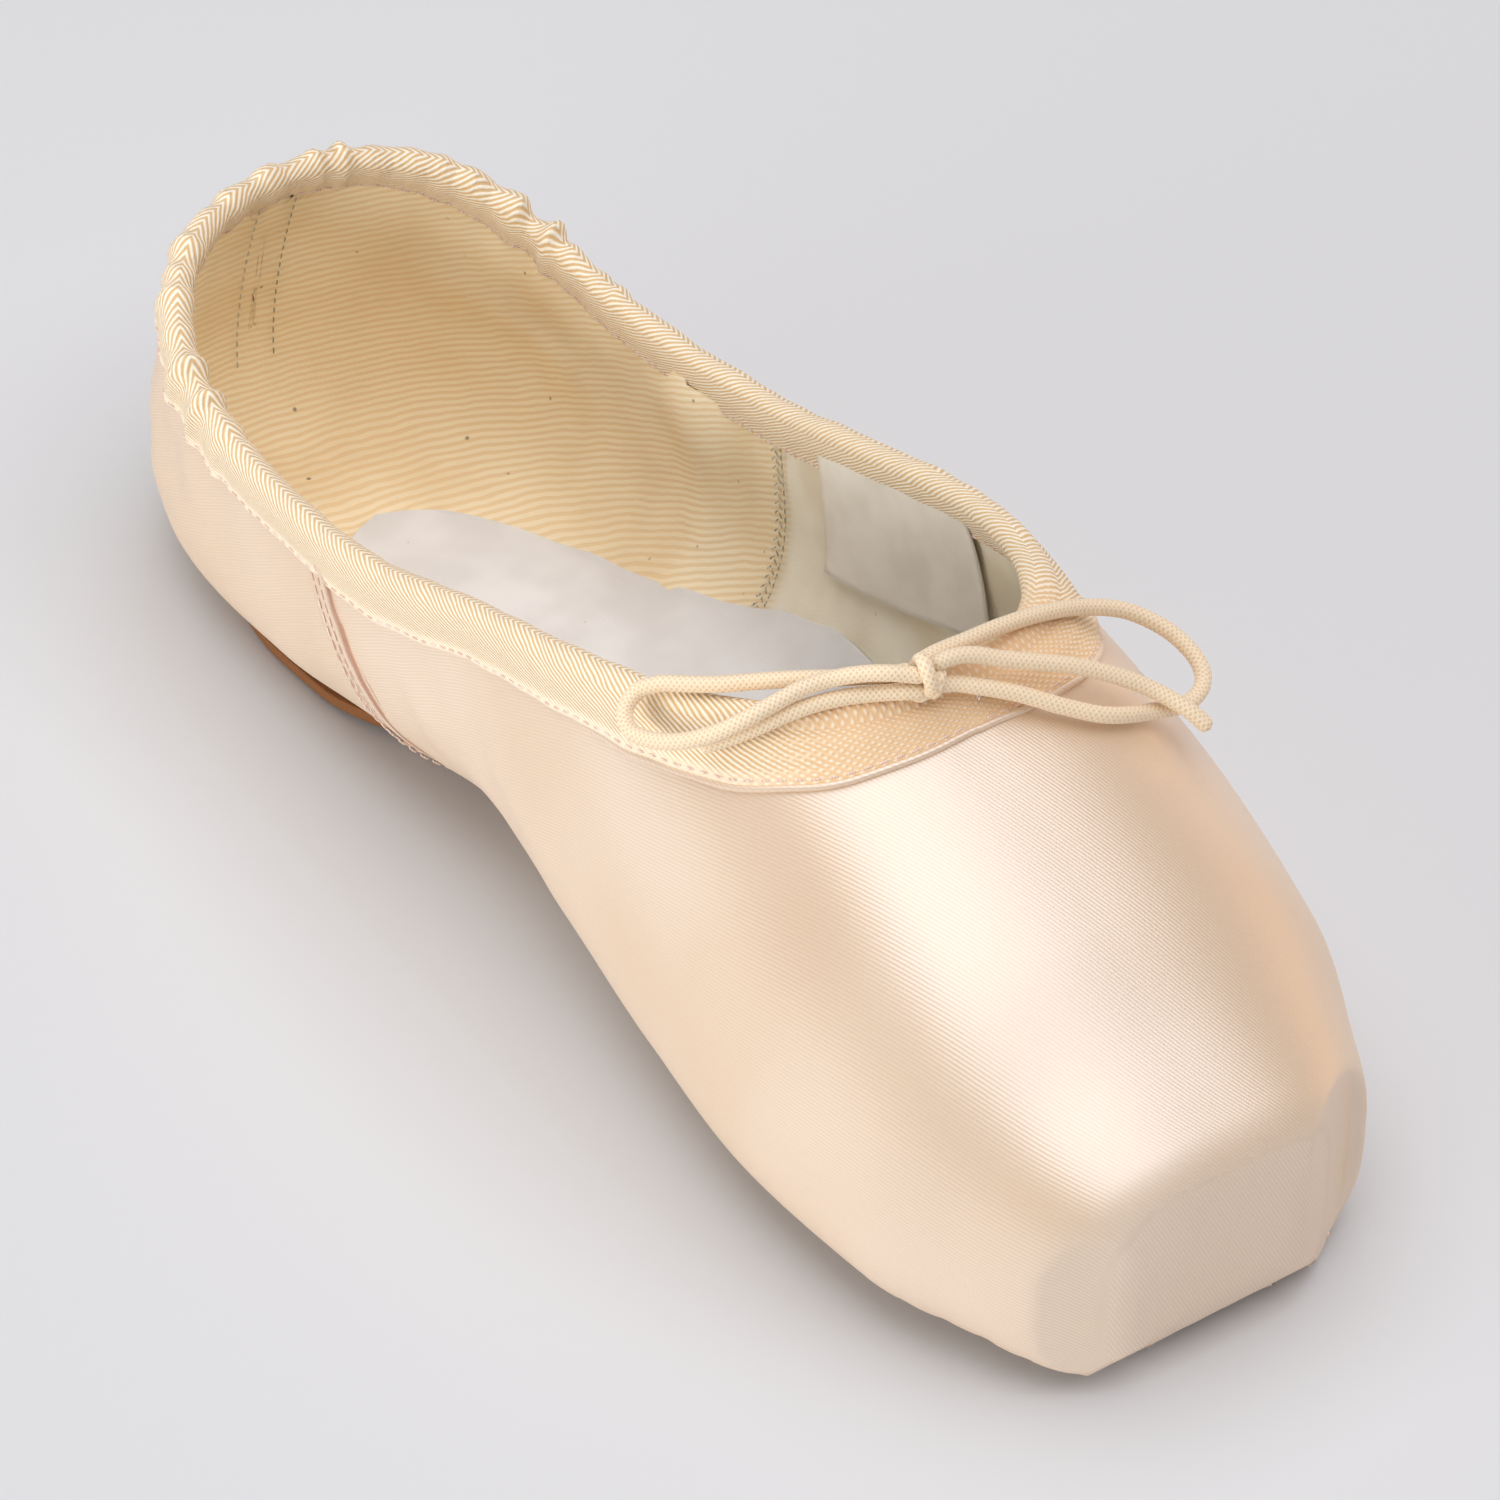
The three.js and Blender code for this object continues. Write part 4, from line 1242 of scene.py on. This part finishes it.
def cotton_twill():
    """Unbleached cotton twill: ribs 1 mm apart with dark flecks of seed in it. In front of the
    side seam it is the greyer plain canvas of the toe box."""
    material, tree, shader = new_material("unbleached_twill", Specular_IOR_Level=0.15)
    place = node(tree, "VectorMath", {"operation": "DOT_PRODUCT"}, _0=in_mm(tree),
                 _1=(0.08, 0.49, 0.87)).outputs["Value"]
    place = maths(tree, "ADD", place, maths(tree, "MULTIPLY", noise(tree, in_mm(tree), 9), 1.4))
    ribs = maths(tree, "SINE", maths(tree, "MULTIPLY", place, 2 * math.pi / 1.0))
    ribs = ranged(tree, ribs, -1, 1)
    fuzz = noise(tree, in_mm(tree), 0.5, 3.0, 0.6)
    cloudy = noise(tree, in_mm(tree), 16, 2.0)
    fleck = node(tree, "TexVoronoi", Vector=in_mm(tree), Scale=1 / 4.2, Randomness=1.0)
    few = noise(tree, in_mm(tree), 5.5, 1.0)
    near = ranged(tree, fleck.outputs["Distance"], 0.05, 0.11, 1.0, 0.0)
    flecks = maths(tree, "MULTIPLY", near, ranged(tree, few, 0.5, 0.62))
    front = stored(tree, "forward")
    base = mixed(tree, ranged(tree, ribs, 0.1, 0.8), "#f5deb4", "#fff0d0")
    base = mixed(tree, ranged(tree, cloudy, 0.35, 0.7, 0.0, 0.3), base, "#e6c797")
    canvas = mixed(tree, ranged(tree, cloudy, 0.35, 0.65), "#f7f0dc", "#e8dcc2")
    base = mixed(tree, front, base, canvas)
    base = mixed(tree, maths(tree, "MULTIPLY", flecks, 0.7), base, "#6b5540")
    paint(tree, shader, base, None)
    shader.inputs["Roughness"].default_value = 0.92
    flat = node(tree, "Mix", {"data_type": "FLOAT"}, _0=front, _2=ribs, _3=fuzz).outputs[0]
    bumped(tree, shader, (cloudy, 0.5, 0.2), (fuzz, 0.15, 0.5), (flat, 0.1, 0.3))
    return material


def sock_cotton():
    """Brushed white sock cloth, smooth and matt, with a few grey flecks."""
    material, tree, shader = new_material("brushed_white_sock", Specular_IOR_Level=0.2,
                                          Roughness=0.88)
    nap = noise(tree, in_mm(tree), 0.5, 3.0, 0.6)
    cloudy = noise(tree, in_mm(tree), 14, 2.0)
    fleck = node(tree, "TexVoronoi", Vector=in_mm(tree), Scale=1 / 3.0, Randomness=1.0)
    flecks = ranged(tree, fleck.outputs["Distance"], 0.04, 0.1, 0.5, 0.0)
    base = mixed(tree, ranged(tree, cloudy, 0.35, 0.65), "#e9e7e5", "#dedbd8")
    base = mixed(tree, maths(tree, "MULTIPLY", flecks, ranged(tree, nap, 0.5, 0.6)), base,
                 "#b8aea2")
    paint(tree, shader, base)
    bumped(tree, shader, (cloudy, 0.3, 0.2), (nap, 0.1, 0.45))
    return material


def sole_leather():
    """Vegetable-tanned cowhide, buffed underneath so that it grips, with a darker cut edge."""
    material, tree, shader = new_material("buffed_sole_leather", Specular_IOR_Level=0.35)
    nap = noise(tree, in_mm(tree), 0.45, 4.0, 0.65)
    grain = node(tree, "TexVoronoi", Vector=in_mm(tree), Scale=1 / 0.9).outputs["Distance"]
    cloudy = noise(tree, in_mm(tree), 18, 3.0)
    edge = stored(tree, "edge")
    base = mixed(tree, ranged(tree, cloudy, 0.35, 0.65), "#c9a078", "#b8895f")
    base = mixed(tree, ranged(tree, nap, 0.4, 0.75, 0.0, 0.5), base, "#d9b691")
    base = mixed(tree, edge, base, "#8a5a34")
    paint(tree, shader, base, ranged(tree, edge, 0, 1, 0.85, 0.6))
    bumped(tree, shader, (cloudy, 0.3, 0.3), (grain, 0.12, 0.3), (nap, 0.15, 0.6))
    return material


def elastic_cord():
    """Elastic cord in a braided cotton cover, its plaits 0.8 mm long."""
    material, tree, shader = new_material("braided_elastic", Specular_IOR_Level=0.4,
                                          Sheen_Weight=0.4, Sheen_Roughness=0.4)
    one = bands(tree, cloth_uv(tree, 38), 0.62)
    two = bands(tree, cloth_uv(tree, -38), 0.62)
    plait = maths(tree, "MAXIMUM", one, two)
    fuzz = noise(tree, cloth_uv(tree), 0.3, 2.0)
    base = mixed(tree, ranged(tree, plait, 0.35, 0.95), "#e6c69c", "#f7e4c6")
    base = mixed(tree, ranged(tree, fuzz, 0.4, 0.7, 0.0, 0.3), base, "#fbeed2")
    paint(tree, shader, base, ranged(tree, plait, 0, 1, 0.7, 0.5))
    bumped(tree, shader, (fuzz, 0.06, 0.4), (plait, 0.1, 0.55))
    return material


def sewing_thread(name, light, dark):
    """Twisted polyester sewing thread."""
    material, tree, shader = new_material(name, Specular_IOR_Level=0.4, Roughness=0.55,
                                          Sheen_Weight=0.2)
    twist = bands(tree, in_mm(tree), 0.35, 1.0)
    paint(tree, shader, mixed(tree, twist, light, dark))
    bumped(tree, shader, (twist, 0.05, 0.5))
    return material


def ribbon_satin():
    """White woven ribbon, lightly glossy."""
    material, tree, shader = new_material("white_ribbon", Specular_IOR_Level=0.4, Roughness=0.5)
    weave = maths(tree, "MULTIPLY", bands(tree, cloth_uv(tree), 0.45),
                  bands(tree, cloth_uv(tree, 90), 0.45))
    base = mixed(tree, ranged(tree, noise(tree, cloth_uv(tree), 9), 0.35, 0.65), "#efe8da",
                 "#e4dccb")
    paint(tree, shader, mixed(tree, maths(tree, "MULTIPLY", weave, 0.25), base, "#ffffff"))
    bumped(tree, shader, (weave, 0.05, 0.4))
    return material


# ---- Assembly ----------------------------------------------------------------------------------

braided = elastic_cord()
fit_out(knot, braided, ["bow_knot"])
for name, cord in bow.items():
    fit_out(cord, braided, [name])

peach = satin()
fit_out(build_satin(), peach, ["upper"])
fold_finish = fold_satin(peach)
pink_thread = sewing_thread("pale_pink_thread", "#f3ded0", "#dcb9a2")
grey_thread = sewing_thread("unbleached_thread", "#d9d2bd", "#8d8570")
seam_rows = []
for side, name in ((-1, "quarter_fold_left"), (1, "quarter_fold_right")):
    fold, line, along, ahead, normal = build_quarter_fold(side, name)
    fit_out(fold, fold_finish)
    for out, height in ((-1.5, 0.72), (-3.7, 0.42)):
        seam_rows.append(running(line + ahead * out + normal * height, normal, 2.1))
fit_out(stitches("quarter_seam_stitches", seam_rows), pink_thread)

fit_out(build_casing(), twill_tape(), ["binding"])
fit_out(build_rolled_edge(), peach)
outside = running(*tape_line(False, 8.4, 0.66, 0.0, 1.0), 2.3)
inside = running(*tape_line(True, 8.3, 0.6, 0.0, 1.0), 2.3)
fit_out(stitches("casing_stitches", [outside, inside]), pink_thread)
bartack = [running(*tape_line(False, down, 1.45, 0.003, 0.017), 1.0, 0.9)
           for down in (2.2, 2.9, 3.6)]
white_thread = sewing_thread("white_thread", "#fbf6ee", "#d8c8b4")
fit_out(stitches("throat_bartack", bartack, 1.6, 0.3, 0.45), white_thread)

fit_out(build_lining(), cotton_twill())
fit_out(build_sock(), sock_cotton(), ["insole"])
fit_out(build_label(), ribbon_satin())
fit_out(build_outsole(), sole_leather(), ["outsole"])


def lining_seams():
    """Overlocked side seams and the heel's seam, on the lining."""
    rows = []
    for side in (1, -1):
        z = np.linspace(8, 44, 60)
        t = 142 + 5.0 * ((z - 5) / 40) ** 1.2
        line = wall_point(t, z, side, wall_at(t) + 0.35)
        normal = np.tile([-side, 0, 0.25], (60, 1)).astype(float)
        for out, slant in ((0.4, 0.0), (1.6, 0.9), (2.7, -0.9)):
            moved = wall_point(t + out, z, side, wall_at(t) + 0.35)
            rows.append(running(moved, normal, 1.5, slant))
    z = np.linspace(14, 50, 60)
    t = LENGTH - 2.1 + 0 * z
    for x in (-3.4, 3.0):
        y = TOE_Y + LENGTH - QUARTER_WALL - 1.2 - HEEL_LEAN * np.maximum(
            (z - LEAN_FROM) / 40, 0) ** 1.6
        line = np.stack([x + 0 * z, y, z], axis=1)
        rows.append(running(line, np.tile([0, -1.0, 0.2], (60, 1)), 2.0))
    return rows


fit_out(stitches("lining_stitches", lining_seams(), 1.2, 0.3, 0.3), grey_thread)

# ---- Floor and light ---------------------------------------------------------------------------


def build_floor():
    mesh = bpy.data.meshes.new("floor")
    reach = 6.0
    mesh.from_pydata([(-reach, -reach, 0), (reach, -reach, 0), (reach, reach, 0),
                      (-reach, reach, 0)], [], [(0, 1, 2, 3)])
    floor = added("floor", mesh)
    material, _, shader = new_material("pale_paper_floor", Roughness=0.95,
                                       Specular_IOR_Level=0.1)
    shader.inputs["Base Color"].default_value = colour("#dcddde")
    floor.data.materials.append(material)


def soft_light(name, place, target, wide, tall, power, tint, mirrored=True):
    data = bpy.data.lights.new(name, "AREA")
    data.shape = "RECTANGLE"
    data.size = wide
    data.size_y = tall
    data.energy = power
    data.color = colour(tint)[:3]
    light = added(name, data)
    light.location = place
    light.visible_glossy = mirrored
    aim = Vector(target) - Vector(place)
    light.rotation_euler = aim.to_track_quat("-Z", "Y").to_euler()


build_floor()
soft_light("overhead", (0.1, -0.2, 1.4), (0.1, -0.2, 0), 1.6, 2.4, 22, "#fefcff")
soft_light("left_fill", (-1.4, 0.0, 0.2), (0, 0, 0.03), 1.8, 0.36, 15, "#ffffff", False)
soft_light("right_warm", (1.3, -0.3, 0.3), (0, 0, 0.03), 0.7, 0.6, 1.6, "#ffc692")
world = bpy.data.worlds.new("studio")
world.use_nodes = True
world.node_tree.nodes["Background"].inputs[0].default_value = colour("#f4f4f8")
world.node_tree.nodes["Background"].inputs[1].default_value = 0.3
bpy.context.scene.world = world
bpy.context.scene.view_settings.view_transform = "Standard"
